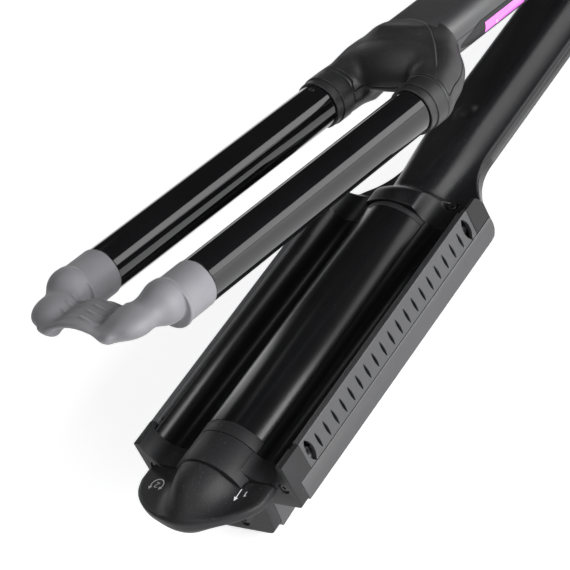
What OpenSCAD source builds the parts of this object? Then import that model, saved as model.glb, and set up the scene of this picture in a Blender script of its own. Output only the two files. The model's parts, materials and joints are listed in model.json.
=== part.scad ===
// Hair waver: a jaw with a trough on each side of a turning hump, and a fork of two heated
// barrels that closes into the troughs. Both arms share a hinge pin at the far end.
// X runs across the tool, Y from the tip to the hinge, Z up. The sections are drawn with the
// lips of the jaw at Z = 0 and the front of its end cap at Y = 0, and at_rest() then stands
// the tool on the foot under the head and the two ears of the hinge.

/* [Jaw] */
// Length of the wave plates
plate_l = 133.5; // [100:0.5:160]
// Length of the end cap in front of the plates
cap_l = 10; // [9:0.5:14]
// Length of the jaw behind the plates
rear_l = 12.5; // [12:0.5:20]
// Width of the flat lip outside each trough
lip_w = 3.3; // [3:0.1:5]
// Depth of the side walls below the lips
wall_h = 22.4; // [19:0.2:28]
// Height of the slotted strip in each side wall
strip_h = 13.2; // [12.5:0.1:15]
// Number of slits in each strip
slit_count = 19; // [8:1:22]
// Length of one slit
slit_l = 7.6; // [5:0.1:9]
// Wall thickness of the moulded shells
shell_t = 1.8; // [1.5:0.1:2.2]
// Thickness of the coated plates
plate_t = 1.2; // [1:0.1:1.5]
// Room between the turning hump and the floor of the stand
stand_room = 10.3; // [4:0.1:13]
// Height of the foot under the stand
foot_h = 2; // [1:0.1:4]

/* [Barrels] */
// Diameter of each barrel
barrel_d = 19; // [15.5:0.5:20]
// Wall thickness of each barrel
barrel_t = 1.5; // [1:0.1:2]
// Distance between the two barrel axes
barrel_pitch = 48.2; // [47:0.1:58]
// Gap between a barrel and its trough when the jaw is shut
trough_gap = 1.2; // [0.8:0.1:2]
// Reach of the cool tip in front of the end cap
tip_reach = 43; // [35:0.5:50]

/* [Turning hump] */
// Height of the crest above the lips
crest_h = 3.5; // [2.4:0.1:3.8]
// Distance from the hump's axis to its flat side
flat_dist = 9; // [7:0.1:11]
// Length of the turn knob
knob_l = 28.6; // [24:0.2:34]
// Width of the knob across its wings
knob_w = 62; // [52:0.5:66]
// Thickness of the wings
wing_t = 4.6; // [3:0.1:6]
// Travel of the knob when it is pulled
knob_pull = 6; // [3:0.5:7]

/* [Handles] */
// Distance from the end of the jaw to the hinge pin
handle_l = 166; // [135:1:190]
// Width of both handles
grip_w = 34; // [31:0.5:40]
// Height of the lower handle
lower_grip_h = 22; // [19:0.5:25]
// Height of the upper handle
upper_grip_h = 19.5; // [17:0.5:22]
// Gap between the handles when the jaw is shut
grip_gap = 0.8; // [0.5:0.1:3]
// Depth of the hinge pin below the lips
hinge_drop = 14; // [13:0.5:17]
// Radius of the ears around the hinge pin
ear_r = 14; // [12:0.5:16]
// Diameter of the hinge pin
pin_d = 6; // [5:0.5:7]
// Angle between the arms when the tool is open
open_deg = 14.3; // [10:0.1:18]
// Travel of the three buttons
button_travel = 0.8; // [0.5:0.1:1]
// Diameter of the supply cord that the swivel takes
cord_d = 6; // [5:0.2:7]

/* [Fits] */
// Radial clearance of a shaft that turns in a bore
run = 0.08; // [0.05:0.01:0.1]
// Clearance between pieces that move past each other
play = 0.4; // [0.3:0.05:0.5]
// Clearance between pieces that are screwed together
seam = 0.1; // [0.05:0.05:0.15]

/* [Hidden] */

$fn = 64;
eps = 0.01;
big = 400;

// Jaw section
trough_x = barrel_pitch / 2;
trough_r = barrel_d / 2 + trough_gap;
jaw_hw = trough_x + trough_r + lip_w;
hump_gap = 0.18;
hump_off = trough_r + hump_gap;
drum_r = (trough_x * trough_x + crest_h * crest_h - hump_off * hump_off) / (2 * (crest_h + hump_off));
axis_z = crest_h - drum_r;
cusp_z = axis_z * (1 - drum_r / norm([trough_x, axis_z]));
plates_y0 = cap_l;
plates_y1 = cap_l + plate_l;
jaw_end = plates_y1 + rear_l;
strip_t = 2.2;
land_t = 1.8;
cap_low = 5;
horn_l = 2.5;
strip_y0 = cap_l + horn_l;
strip_y1 = plates_y1 + 1.8;
front_t = 3;

// Stand under the jaw
stand_z = axis_z - drum_r - play - stand_room - shell_t;
stand_h = foot_h - stand_z;
drum_side = sqrt(max(0, pow(drum_r + play, 2) - pow(wall_h + axis_z, 2)));
stand_top_hw = drum_side + 1.2 + shell_t;
stand_hw = stand_top_hw - 2.4;
foot_t = 3;
foot_y = cap_low + 3.1;
stand_rear_y = plates_y1 + 2;
stand_rear_z = axis_z - drum_r - play - shell_t - 0.4;

// Turning hump
band_l = 5.6;
drum_y0 = plates_y0 + play + band_l;
rear_band_l = 2.6;
drum_y1 = plates_y1 - play - rear_band_l;
drum_t = 2;
hub_r = 8.9;
hub_y0 = -4.6;
rear_hub_r = 7.9;
rear_hub_l = 7.4;
boss_l = 5;
spigot_l = 3.4;
key_w = 8;
washer_t = 1.5;
web_z = axis_z + key_w / 2 + 0.3;
web_t = 1.6;
spring_l = knob_pull + 3.5;

// Barrels and fork
barrel_r = barrel_d / 2;
bore_r = barrel_r - barrel_t;
barrel_y0 = plates_y0 - 4.8;
barrel_y1 = plates_y1 + 2.4;
collar_y1 = barrel_y1 + 11;
collar_r1 = barrel_r + 0.9;
collar_r2 = barrel_r + 1.4;
rear_trough_r = collar_r2 + 0.6;
tip_r = barrel_r + 0.4;
ring_r = tip_r + 0.4;
wing_half = min(wing_t / 2, -axis_z - ring_r - play);

// Handles
lower_top = -1;
lower_mid = lower_top - lower_grip_h / 2;
upper_mid = lower_top + grip_gap + upper_grip_h / 2;
grip_r = 9;
upper_grip_r = 7.5;
hinge_y = jaw_end + handle_l;
hinge_z = -hinge_drop;
flare_l = 36;
neck_w = 2 * (trough_x - rear_trough_r);
neck_y1 = jaw_end + flare_l;
clevis_y = hinge_y - 26;
ear_t = 5.5;
pin_r = pin_d / 2;
knuckle_hw = grip_w / 2 - ear_t - play;
knuckle_r = ear_r - 0.5;
upper_y0 = jaw_end + 30;
upper_y1 = hinge_y - 14;
swivel_up = 7;
swivel_r = 5.9;
swivel_y0 = hinge_y + knuckle_r - 3;
swivel_l = 20;

// Control panel on the right flank of the upper handle
panel_y0 = upper_y0 + 9;
panel_y1 = upper_y1 - 8;
panel_z0 = upper_mid - 8.9;
panel_z1 = upper_mid - 0.1;
panel_mid = (panel_z0 + panel_z1) / 2;
window_y0 = panel_y0 + 18.5;
window_l = 30;
window_h = 4.8;
button_r = 3.2;
button_y = [for (i = [0:2]) window_y0 + window_l + 10 + 11 * i];
board_x = 6.6;
board_t = 1.6;

// Attitude at rest: the foot's flat face and both ears touch the ground
foot_to_hinge = [hinge_y - foot_y, hinge_z + stand_h];
tilt_deg = asin(ear_r / norm(foot_to_hinge)) - atan2(foot_to_hinge[1], foot_to_hinge[0]);

module at_rest() {
    rotate([tilt_deg, 0, 0]) translate([0, -foot_y, stand_h]) children();
}

module opened() {
    at_rest() translate([0, hinge_y, hinge_z]) rotate([-open_deg, 0, 0])
        translate([0, -hinge_y, -hinge_z]) children();
}

// A section drawn across the tool, carried from y0 to y1
module along_y(y0, y1) {
    translate([0, y1, 0]) rotate([90, 0, 0]) linear_extrude(y1 - y0) children();
}

// A side view drawn in Y and Z, carried from x0 to x1
module along_x(x0, x1) {
    translate([x0, 0, 0]) rotate([90, 0, 90]) linear_extrude(x1 - x0) children();
}

module both_sides() {
    children();
    mirror([1, 0, 0]) children();
}

module round_rect(w, h, r) {
    square([w - 2 * r, h], center = true);
    square([w, h - 2 * r], center = true);
    for (x = [-1, 1], z = [-1, 1]) translate([x * (w / 2 - r), z * (h / 2 - r)]) circle(r);
}

module slab(x0, x1, z0, z1) {
    translate([x0, z0]) square([x1 - x0, z1 - z0]);
}

// Screw with its head at y = 0 and its shank towards +Y
module screw(head_r, head_t, shank_r, shank_l) {
    difference() {
        rotate([-90, 0, 0]) cylinder(r = head_r, h = head_t, $fn = 32);
        translate([0, 0.5 * head_t, 0]) cube([head_r, head_t + eps, 0.5], center = true);
        translate([0, 0.5 * head_t, 0]) cube([0.5, head_t + eps, head_r], center = true);
    }
    translate([0, head_t - eps, 0]) rotate([-90, 0, 0]) cylinder(r = shank_r, h = shank_l, $fn = 24);
}

// ---------------------------------------------------------------- jaw

module trough_circles(r) {
    for (s = [-1, 1]) translate([s * trough_x, 0]) circle(r, $fn = 96);
}

module hump_circle(r) {
    translate([0, axis_z]) circle(r, $fn = 128);
}

// Trough, hump, trough: the section that the jaw shows from the front
module jaw_section(r, inset) {
    difference() {
        union() {
            difference() {
                slab(-jaw_hw + inset, jaw_hw - inset, -wall_h + inset, 0);
                slab(-trough_x, trough_x, cusp_z, 1);
            }
            intersection() {
                hump_circle(drum_r - inset);
                slab(-trough_x, trough_x, -wall_h + inset, crest_h + 1);
            }
        }
        trough_circles(r + inset);
    }
}

module stand_section(inset) {
    polygon([
        [-stand_top_hw + inset, -wall_h + inset + 1], [stand_top_hw - inset, -wall_h + inset + 1],
        [stand_top_hw - inset, -wall_h], [stand_hw - inset, stand_z + inset],
        [-stand_hw + inset, stand_z + inset], [-stand_top_hw + inset, -wall_h]
    ]);
}

module tray_section(inset) {
    top = inset > 0 ? -strip_h + 1 : -strip_h;
    slab(-jaw_hw + inset, jaw_hw - inset, -wall_h + inset, top);
    stand_section(inset);
}

// Side view of the stand, whose floor rises just below the turning hump
module stand_side(inset) {
    polygon([
        [-big, 50], [big, 50], [big, -wall_h + inset], [jaw_end, -wall_h + inset],
        [stand_rear_y, stand_rear_z + inset], [cap_low, stand_z + inset], [-big, stand_z + inset]
    ]);
}

post_r = 2.8;
post_l = 10;
post_x = jaw_hw - 5.3;
post_z = -sqrt(pow(trough_r + plate_t + post_r + play, 2) - pow(post_x - trough_x, 2));

module lower_shell() {
    color("#2a292c") difference() {
        at_rest() {
            difference() {
                intersection() {
                    along_y(cap_low + seam, jaw_end) tray_section(0);
                    along_x(-big, big) stand_side(0);
                }
                intersection() {
                    along_y(cap_low - 1, jaw_end + 1) tray_section(shell_t);
                    along_x(-big, big) stand_side(shell_t);
                }
            }
            along_y(foot_y - foot_t / 2, foot_y + foot_t / 2)
                slab(-stand_hw + 2.5, stand_hw - 2.5, -stand_h - 1, stand_z + 1);
            both_sides() screw_post();
            keel_screw_post();
        }
        translate([-big / 2, -big / 2, -10]) cube([big, big, 10]);
    }
}

module screw_post() {
    difference() {
        along_y(cap_l + seam, cap_l + post_l) {
            translate([post_x, post_z]) circle(post_r);
            slab(post_x - 1, post_x + 1, -wall_h + shell_t - eps, post_z);
        }
        along_y(cap_l - 1, cap_l + post_l + 1) translate([post_x, post_z]) circle(1.3);
    }
}

keel_screw_z = stand_z + shell_t + 3.1;

module keel_screw_post() {
    difference() {
        along_y(cap_low + seam, cap_low + post_l) {
            translate([0, keel_screw_z]) circle(post_r);
            slab(-1, 1, stand_z + shell_t - eps, keel_screw_z);
        }
        along_y(cap_low - 1, cap_low + post_l + 1) translate([0, keel_screw_z]) circle(1.3);
    }
}

module cap_screw_places() {
    for (s = [-1, 1]) translate([s * post_x, post_z]) children();
    translate([0, keel_screw_z]) children();
}

module end_cap() {
    color("#242326") at_rest() difference() {
        union() {
            along_y(0, cap_low) {
                jaw_section(trough_r, 0);
                stand_section(0);
            }
            along_y(0, cap_l) intersection() {
                jaw_section(trough_r, 0);
                slab(-jaw_hw, jaw_hw, -strip_h + seam, crest_h + 1);
            }
            along_y(cap_l - eps, strip_y0) both_sides() difference() {
                union() {
                    slab(jaw_hw - strip_t, jaw_hw, -strip_h + seam, 0);
                    slab(jaw_hw - lip_w - 2, jaw_hw, -land_t, 0);
                }
                trough_circles(trough_r + plate_t + seam);
            }
            along_y(-boss_l, eps) hump_circle(drum_r);
        }
        along_y(front_t, cap_l + eps) difference() {
            union() {
                jaw_section(trough_r, shell_t);
                stand_section(shell_t);
            }
            cap_screw_places() circle(3.4);
            hump_circle(hub_r + 2.4);
        }
        along_y(-boss_l - 1, cap_l + 1) hump_circle(hub_r + run);
        along_y(-1, 2.2) cap_screw_places() circle(2.7);
        along_y(-1, cap_l + 1) cap_screw_places() circle(1.5);
    }
}

module cap_screws() {
    color("#8d8d92") at_rest() {
        for (s = [-1, 1]) translate([s * post_x, 0.6, post_z]) screw(2.4, 1.5, 1.25, 13);
        translate([0, 0.6, keel_screw_z]) screw(2.4, 1.5, 1.25, 9);
    }
}

strip_screw_z = -7.5;
strip_screw_y = [strip_y0 + 4, strip_y1 - 4];

module vent_panel() {
    slit_y0 = strip_screw_y[0] + 6;
    slit_pitch = (strip_screw_y[1] - 6 - slit_y0) / (slit_count - 1);
    difference() {
        union() {
            along_y(strip_y0 + seam, strip_y1)
                slab(jaw_hw - strip_t, jaw_hw, -strip_h + seam, 0);
            along_y(strip_y0 + seam, plates_y1)
                slab(jaw_hw - lip_w - 2, jaw_hw, -land_t, 0);
        }
        along_y(0, jaw_end) trough_circles(trough_r);
        for (i = [0:slit_count - 1])
            translate([jaw_hw - strip_t / 2, slit_y0 + i * slit_pitch, strip_screw_z])
                cube([strip_t + 1, 1, slit_l], center = true);
        for (y = strip_screw_y) translate([jaw_hw, y, strip_screw_z]) rotate([0, 90, 0]) {
            cylinder(r = 2.6, h = 2.4, center = true);
            cylinder(r = 1.3, h = 20, center = true);
        }
    }
}

module vent_panel_right() {
    color("#37363a") at_rest() vent_panel();
}

module vent_panel_left() {
    color("#37363a") at_rest() mirror([1, 0, 0]) vent_panel();
}

module panel_screws() {
    color("#77777c") at_rest() both_sides() for (y = strip_screw_y)
        translate([jaw_hw - 0.2, y, strip_screw_z]) rotate([0, 0, 90]) screw(2.2, 0.9, 1.1, 3);
}

rail_z = -trough_r - plate_t - 1.5;
rail_w = 11;

// Coated plate of one trough, with the flat seat for its heater underneath
module trough_plate() {
    along_y(plates_y0 + seam, plates_y1 - seam) difference() {
        union() {
            intersection() {
                translate([trough_x, 0]) circle(trough_r + plate_t, $fn = 96);
                union() {
                    slab(0, trough_x, -big, cusp_z);
                    slab(trough_x - eps, jaw_hw, -big, -land_t - seam);
                }
            }
            slab(trough_x - rail_w / 2, trough_x + rail_w / 2, rail_z, -trough_r);
        }
        trough_circles(trough_r);
        hump_circle(drum_r + play);
        slab(jaw_hw - strip_t - seam, jaw_hw, -big, 0);
    }
}

module trough_plate_right() {
    color("#0c0c0e") at_rest() trough_plate();
}

module trough_plate_left() {
    color("#0c0c0e") at_rest() mirror([1, 0, 0]) trough_plate();
}

heater_t = 2.5;

module trough_heaters() {
    color("#d9d2c4") at_rest() both_sides() along_y(plates_y0 + 12, plates_y1 - 12)
        slab(trough_x - 5, trough_x + 5, rail_z - heater_t, rail_z);
}

module heater_carriers() {
    x0 = drum_r + play + 0.8;
    z0 = -wall_h + shell_t;
    color("#5b4a3a") at_rest() both_sides() difference() {
        along_y(plates_y0 + 13, plates_y1 - 8) slab(x0, post_x, z0, rail_z - heater_t);
        along_y(plates_y0, plates_y1) slab(x0 + 2, post_x - 2, z0 + 1.2, rail_z - heater_t - 1.2);
    }
}

// ---------------------------------------------------------------- lower handle

// Half width of the flare that leads from the jaw to the handle, t from 0 to 1
function flare_hw(t) = grip_w / 2 + (jaw_hw - grip_w / 2) * pow(1 - t, 2.2);

module flare_plan(inset) {
    steps = 12;
    right = [for (i = [0:steps]) [flare_hw(i / steps) - inset, jaw_end + flare_l * i / steps]];
    left = [for (i = [steps:-1:0]) [-right[i][0], right[i][1]]];
    polygon(concat(right, left));
}

// Tapered neck between the jaw and the handle
module neck(grow) {
    hull() {
        along_y(plates_y1 + 8, plates_y1 + 9) translate([0, lower_mid])
            round_rect(neck_w + 2 * grow, lower_grip_h + 2 * grow, neck_w / 2 - 3);
        along_y(neck_y1 - 1, neck_y1) translate([0, lower_mid])
            round_rect(grip_w + 2 * grow, lower_grip_h + 2 * grow, grip_r);
    }
}

module lower_grip(inset) {
    translate([0, lower_mid])
        round_rect(grip_w - 2 * inset, lower_grip_h - 2 * inset, grip_r - inset);
}

module clevis_slot() {
    translate([-knuckle_hw - play, clevis_y, -60]) cube([2 * (knuckle_hw + play), 80, 100]);
}

module lower_handle_top() {
    cut_z = -strip_h + seam;
    thumb_y = neck_y1 + 12;
    color("#232225") at_rest() difference() {
        intersection() {
            union() {
                along_y(plates_y1 + seam, strip_y1 + seam) intersection() {
                    jaw_section(rear_trough_r, 0);
                    slab(-jaw_hw + strip_t + seam, jaw_hw - strip_t - seam, -big, big);
                }
                along_y(strip_y1 + seam, jaw_end) jaw_section(rear_trough_r, 0);
                translate([0, 0, cut_z]) linear_extrude(1) flare_plan(0);
                neck(0);
                along_y(neck_y1 - 1, clevis_y) lower_grip(0);
            }
            along_y(0, big) slab(-big, big, cut_z, big);
        }
        along_y(plates_y1 + 2.5, jaw_end + 2) difference() {
            slab(-jaw_hw + strip_t + 2, jaw_hw - strip_t - 2, -20, -2);
            trough_circles(rear_trough_r + 1.2);
            hump_circle(rear_hub_r + 2.5);
        }
        intersection() {
            neck(-shell_t);
            along_y(plates_y1 + 12, neck_y1 + 1) slab(-big, big, -big, big);
        }
        along_y(neck_y1 - 2, clevis_y - 2) lower_grip(shell_t);
        along_y(plates_y1, plates_y1 + rear_hub_l + 3) hump_circle(rear_hub_r + run);
        translate([3, thumb_y, lower_top + 13]) sphere(14, $fn = 48);
        clevis_slot();
    }
}

module ear_side() {
    translate([hinge_y, hinge_z]) circle(ear_r, $fn = 96);
    translate([clevis_y, lower_mid - lower_grip_h / 2]) square([hinge_y - clevis_y, lower_grip_h - 3]);
    translate([clevis_y - 12, lower_mid - lower_grip_h / 2 + 1])
        square([14, -strip_h - lower_mid + lower_grip_h / 2 - 1]);
}

module lower_handle_bottom() {
    floor_z = lower_mid - lower_grip_h / 2;
    color("#262528") at_rest() difference() {
        union() {
            difference() {
                union() {
                    for (i = [0:3]) translate([0, 0, -wall_h + 1.6 * i])
                        linear_extrude(wall_h - strip_h - 1.6 * i) flare_plan(4.8 - 1.6 * i);
                    intersection() {
                        along_y(neck_y1 - 1, clevis_y) lower_grip(0);
                        along_y(0, big) slab(-big, big, -big, -strip_h);
                    }
                }
                translate([0, 0, -wall_h + shell_t]) linear_extrude(wall_h) flare_plan(4.8 + shell_t);
                along_y(neck_y1 - 3, clevis_y - 2) lower_grip(shell_t);
            }
            both_sides() along_x(knuckle_hw + play, grip_w / 2 - shell_t) ear_side();
            both_sides() along_x(knuckle_hw + play, grip_w / 2) difference() {
                ear_side();
                translate([0, -big]) square([clevis_y, 2 * big]);
            }
        }
        clevis_slot();
        along_x(-big, big) translate([hinge_y, hinge_z]) circle(pin_r + 0.02);
        both_sides() along_x(grip_w / 2 - 1.3, grip_w) translate([hinge_y, hinge_z]) circle(9.1);
        translate([-big / 2, 0, floor_z - 40]) cube([big, clevis_y, 40]);
    }
}

module hinge_pin() {
    color("#b9bac0") at_rest() along_x(-grip_w / 2 + 1.4, grip_w / 2 - 1.4)
        translate([hinge_y, hinge_z]) circle(pin_r);
}

// Coiled part of the opening spring, around the pin
module hinge_spring() {
    color("#9a9a9f") at_rest() along_x(-3.6, 3.6) translate([hinge_y, hinge_z]) difference() {
        circle(pin_r + 3.6);
        circle(pin_r + 0.5);
    }
}

module hinge_caps() {
    color("#1f1e21") at_rest() both_sides() along_x(grip_w / 2 - 1.2, grip_w / 2)
        translate([hinge_y, hinge_z]) circle(9);
}

// ---------------------------------------------------------------- turning hump and its knob

module drum_section(inset) {
    intersection() {
        hump_circle(drum_r - inset);
        slab(-big, big, axis_z - flat_dist + inset, big);
    }
}

module wave_drum() {
    color("#0d0d10") at_rest() along_y(drum_y0, drum_y1) difference() {
        drum_section(0);
        difference() {
            drum_section(drum_t);
            slab(-drum_r, drum_r, web_z, web_z + web_t);
        }
    }
}

module drum_band(y0, y1, spigot_y0, spigot_y1) {
    along_y(y0, y1) drum_section(0);
    along_y(spigot_y0, spigot_y1) difference() {
        drum_section(drum_t + seam);
        slab(-drum_r, drum_r, web_z - seam, web_z + web_t + seam);
    }
}

module drum_band_front() {
    y0 = plates_y0 + play;
    color("#29282b") at_rest() difference() {
        union() {
            drum_band(y0, drum_y0, drum_y0 - eps, drum_y0 + spigot_l);
            along_y(hub_y0, y0 + eps) hump_circle(hub_r);
        }
        along_y(hub_y0 - 1, drum_y0 + spigot_l + 1) translate([0, axis_z])
            square(key_w + 2 * run, center = true);
    }
}

module drum_band_rear() {
    y1 = plates_y1 - play;
    color("#29282b") at_rest() {
        drum_band(drum_y1, y1, drum_y1 - spigot_l, drum_y1 + eps);
        along_y(y1 - eps, y1 + rear_hub_l) hump_circle(rear_hub_r);
    }
}

module drum_heater() {
    color("#d9d2c4") at_rest() along_y(drum_y0 + 18, drum_y1 - 12)
        slab(-7, 7, web_z + web_t, web_z + web_t + heater_t);
}

shaft_y0 = -knob_l + 9;
washer_y = drum_y0 + spigot_l + spring_l;

module knob_spring() {
    color("#a5a5aa") at_rest() along_y(drum_y0 + spigot_l + seam, washer_y - seam) difference() {
        translate([0, axis_z]) circle(flat_dist - drum_t - 0.3);
        translate([0, axis_z]) circle(key_w * 0.72);
        slab(-drum_r, drum_r, web_z - seam, big);
    }
}

// Outline of the wings seen from above
module knob_plan() {
    side_l = 9;
    bow = knob_l - side_l;
    round_front = [for (a = [180:6:360]) [knob_w / 2 * cos(a), bow * sin(a) - side_l]];
    polygon(concat(round_front, [[knob_w / 2 - 1, -play], [1 - knob_w / 2, -play]]));
}

module turn_knob() {
    nose_r = 6;
    bend_y = -10.5;
    color("#2c2b2f") at_rest() difference() {
        union() {
            intersection() {
                translate([0, 0, axis_z - wing_half]) linear_extrude(2 * wing_half) knob_plan();
                along_y(bend_y, 0) slab(-big, big, -big, big);
            }
            intersection() {
                translate([0, bend_y, axis_z]) rotate([-8.5, 0, 0]) translate([0, -bend_y, -wing_half])
                    linear_extrude(2 * wing_half) knob_plan();
                along_y(-big, bend_y + eps) slab(-big, big, -big, big);
            }
            intersection() {
                hull() {
                    along_y(-boss_l - play - 1, -boss_l - play) hump_circle(drum_r);
                    for (s = [-1, 1]) translate([s * 4, -knob_l + nose_r + 2, axis_z])
                        sphere(nose_r, $fn = 32);
                }
                along_y(-knob_l, 0) slab(-drum_r, drum_r, axis_z - wing_half, big);
            }
        }
        along_y(-boss_l - play, 1) hump_circle(drum_r + play);
        along_y(shaft_y0 - seam, 0) translate([0, axis_z]) square(key_w + 2 * seam, center = true);
    }
}

module knob_shaft() {
    color("#b4b5ba") at_rest() {
        along_y(shaft_y0, washer_y + washer_t) translate([0, axis_z]) square(key_w, center = true);
        along_y(washer_y, washer_y + washer_t) intersection() {
            translate([0, axis_z]) circle(key_w / 2 + 3.6);
            slab(-drum_r, drum_r, axis_z - flat_dist + drum_t + play, axis_z + 4 - run);
        }
    }
}

// ---------------------------------------------------------------- fork

module barrel(side) {
    color("#0b0b0d") opened() along_y(barrel_y0, collar_y1 - 4) translate([side * trough_x, 0])
        difference() {
            circle(barrel_r, $fn = 96);
            circle(bore_r, $fn = 96);
        }
}

module barrel_left() {
    barrel(-1);
}

module barrel_right() {
    barrel(1);
}

module barrel_heaters() {
    color("#cfc8bb") opened() for (s = [-1, 1]) translate([s * trough_x, 0, 0])
        along_y(barrel_y0 + 14, barrel_y1 - 14) difference() {
            circle(bore_r - seam);
            slab(-big, big, -1.2, 1.2);
        }
}

screw_turn = 12;

// Two stepped rings around the back end of a barrel
module collar(side) {
    color("#1d1c1f") opened() translate([side * trough_x, 0, 0]) difference() {
        union() {
            along_y(barrel_y1, barrel_y1 + 4) circle(collar_r1, $fn = 96);
            along_y(barrel_y1 + 4, collar_y1) circle(collar_r2, $fn = 96);
        }
        along_y(barrel_y1 - 1, collar_y1 + 1) circle(barrel_r + 0.02, $fn = 96);
        rotate([0, -screw_turn, 0]) translate([0, barrel_y1 + 6.6, barrel_r - 1])
            cylinder(r = 1.9, h = 10, $fn = 32);
    }
}

module collar_left() {
    collar(-1);
}

module collar_right() {
    collar(1);
}

module barrel_screws() {
    color("#6f6f75") opened() for (s = [-1, 1]) translate([s * trough_x, 0, 0])
        rotate([0, -screw_turn, 0]) translate([0, barrel_y1 + 6.6, collar_r2 - 0.1])
            rotate([-90, 0, 0]) screw(1.7, 1, 0.9, 0.25);
}

// Soft-touch bridge that joins the barrels and stays cool
module cool_tip() {
    bend_y = -20;
    front_y = -tip_reach + 7;
    bridge_z = 6.4;
    color("#69686e") opened() difference() {
        union() {
            for (s = [-1, 1]) translate([s * trough_x, 0, 0]) {
                along_y(-10, barrel_y0) circle(tip_r, $fn = 64);
                along_y(-10, -8) circle(ring_r, $fn = 64);
                along_y(barrel_y0 - eps, barrel_y0 + 8) circle(bore_r - seam, $fn = 64);
            }
            both_sides() hull() {
                along_y(-10, -9) translate([trough_x, 0]) circle(tip_r, $fn = 32);
                translate([trough_x + 0.5, bend_y, 1.5]) sphere(tip_r - 1.4, $fn = 32);
            }
            both_sides() hull() {
                translate([trough_x + 0.5, bend_y, 1.5]) sphere(tip_r - 1.4, $fn = 32);
                translate([11, front_y - 0.5, bridge_z]) scale([1, 1.5, 0.7]) sphere(5, $fn = 32);
                translate([12, bend_y - 6, bridge_z]) scale([1, 1, 0.8]) sphere(5, $fn = 32);
            }
            hull() both_sides() {
                translate([11, front_y - 0.5, bridge_z]) scale([1, 1.5, 0.7]) sphere(5, $fn = 32);
                translate([12, bend_y - 6, bridge_z]) scale([1, 1, 0.8]) sphere(5, $fn = 32);
            }
        }
        for (s = [-1, 1]) translate([s * trough_x, barrel_y0 + 4, 0]) tip_screw_hole();
    }
}

module tip_screw_hole() {
    translate([0, 0, -bore_r - 1]) cylinder(r = 1.1, h = 6, $fn = 24);
}

module tip_screws() {
    color("#77777c") opened() for (s = [-1, 1]) translate([s * trough_x, barrel_y0 + 4, -bore_r + seam])
        cylinder(r = 1, h = 4, $fn = 24);
}

// Metal bracket that carries both barrels and runs back into the handle
module yoke_frame() {
    plate_z = 5.4;
    legs_y = collar_y1 + shell_t + seam;
    color("#a9aab0") opened() {
        for (s = [-1, 1]) translate([s * trough_x, 0, 0])
            along_y(barrel_y1 - 10, legs_y + eps) circle(bore_r - seam, $fn = 48);
        for (s = [-1, 1]) along_y(legs_y, legs_y + 2.5)
            slab(s * trough_x - 5, s * trough_x + 5, -6, plate_z + 2);
        difference() {
            translate([0, 0, plate_z]) linear_extrude(2) polygon([
                [-trough_x - 4, legs_y], [trough_x + 4, legs_y], [trough_x + 2, legs_y + 9],
                [3.6, upper_y0 + 2], [3.6, upper_y1 - 11], [-7, upper_y1 - 11],
                [-7, upper_y0 + 2], [-trough_x - 2, legs_y + 9]
            ]);
            crotch(shell_t + play);
        }
    }
}

module upper_grip(inset) {
    translate([0, upper_mid])
        round_rect(grip_w - 2 * inset, upper_grip_h - 2 * inset, upper_grip_r - inset);
}

// Rounded gap between the two sockets of the yoke
module crotch(grow) {
    translate([0, collar_y1 - 9, -big / 2]) cylinder(r = 12 + grow, h = big);
}

// Solid form of the yoke: two sockets that merge into the handle, with a crotch between them
module yoke_form(inset) {
    difference() {
        hull() {
            for (s = [-1, 1]) {
                along_y(collar_y1 + inset, collar_y1 + 7 - inset) translate([s * trough_x, 0])
                    circle(collar_r2 - inset, $fn = 32);
                translate([s * 15, upper_y0 - 13.5, upper_mid - 2.8]) sphere(10.3 - inset, $fn = 32);
                translate([s * 7, upper_y0 - 11, upper_mid - 0.5])
                    sphere(upper_grip_h / 2 + 0.4 - inset, $fn = 32);
            }
            along_y(upper_y0 - 2, upper_y0 + (inset > 0 ? 1 : 0)) upper_grip(inset);
        }
        crotch(inset);
    }
}

module neck_room() {
    neck(1.2);
    along_y(plates_y1, jaw_end + 2) hump_circle(drum_r + 1.2);
    translate([-grip_w / 2 - 2, neck_y1 - 26, -40]) cube([grip_w + 4, 60, 40 + lower_top + 1.2]);
}

yoke_split = 1.5;

module yoke_shell() {
    difference() {
        yoke_form(0);
        yoke_form(shell_t);
        neck_room();
    }
    // Roof over the neck of the lower arm
    difference() {
        intersection() {
            yoke_form(0.4);
            along_y(0, upper_y0) slab(-big, big, -big, big);
            union() {
                neck(1.2 + shell_t);
                along_y(plates_y1, jaw_end + 2) hump_circle(drum_r + 1.2 + shell_t);
            }
            along_y(0, big) slab(-big, big, -big, 5.2);
        }
        neck_room();
    }
}

module socket_holes() {
    along_y(collar_y1 - 1, collar_y1 + 5) for (s = [-1, 1]) translate([s * trough_x, 0])
        circle(bore_r, $fn = 64);
}

module yoke_top() {
    color("#201f22") opened() difference() {
        intersection() {
            yoke_shell();
            along_y(0, big) slab(-big, big, yoke_split + seam, big);
        }
        socket_holes();
    }
}

module yoke_bottom() {
    color("#29282b") opened() difference() {
        intersection() {
            yoke_shell();
            along_y(0, big) slab(-big, big, -big, yoke_split);
        }
        socket_holes();
    }
}

// ---------------------------------------------------------------- upper handle

grip_split = upper_mid - 1;

module panel_leaf(grow) {
    r = (panel_z1 - panel_z0) / 2;
    hull() {
        translate([panel_y0 + 1, panel_mid]) circle(1 + grow, $fn = 24);
        translate([panel_y0 + 16, panel_mid]) circle(r + grow);
        translate([panel_y1 - r, panel_mid]) circle(r + grow);
    }
}

module handle_shell() {
    difference() {
        along_y(upper_y0 + seam, upper_y1) upper_grip(0);
        along_y(upper_y0 - 1, upper_y1 - 2) upper_grip(shell_t);
        along_x(8, grip_w) panel_leaf(seam);
    }
}

module upper_handle_top() {
    color("#201f22") opened() intersection() {
        handle_shell();
        along_y(0, big) slab(-big, big, grip_split + seam, big);
    }
}

module swivel_axis(y0, y1) {
    translate([0, 0, hinge_z + swivel_up]) along_y(y0, y1) children();
}

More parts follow.
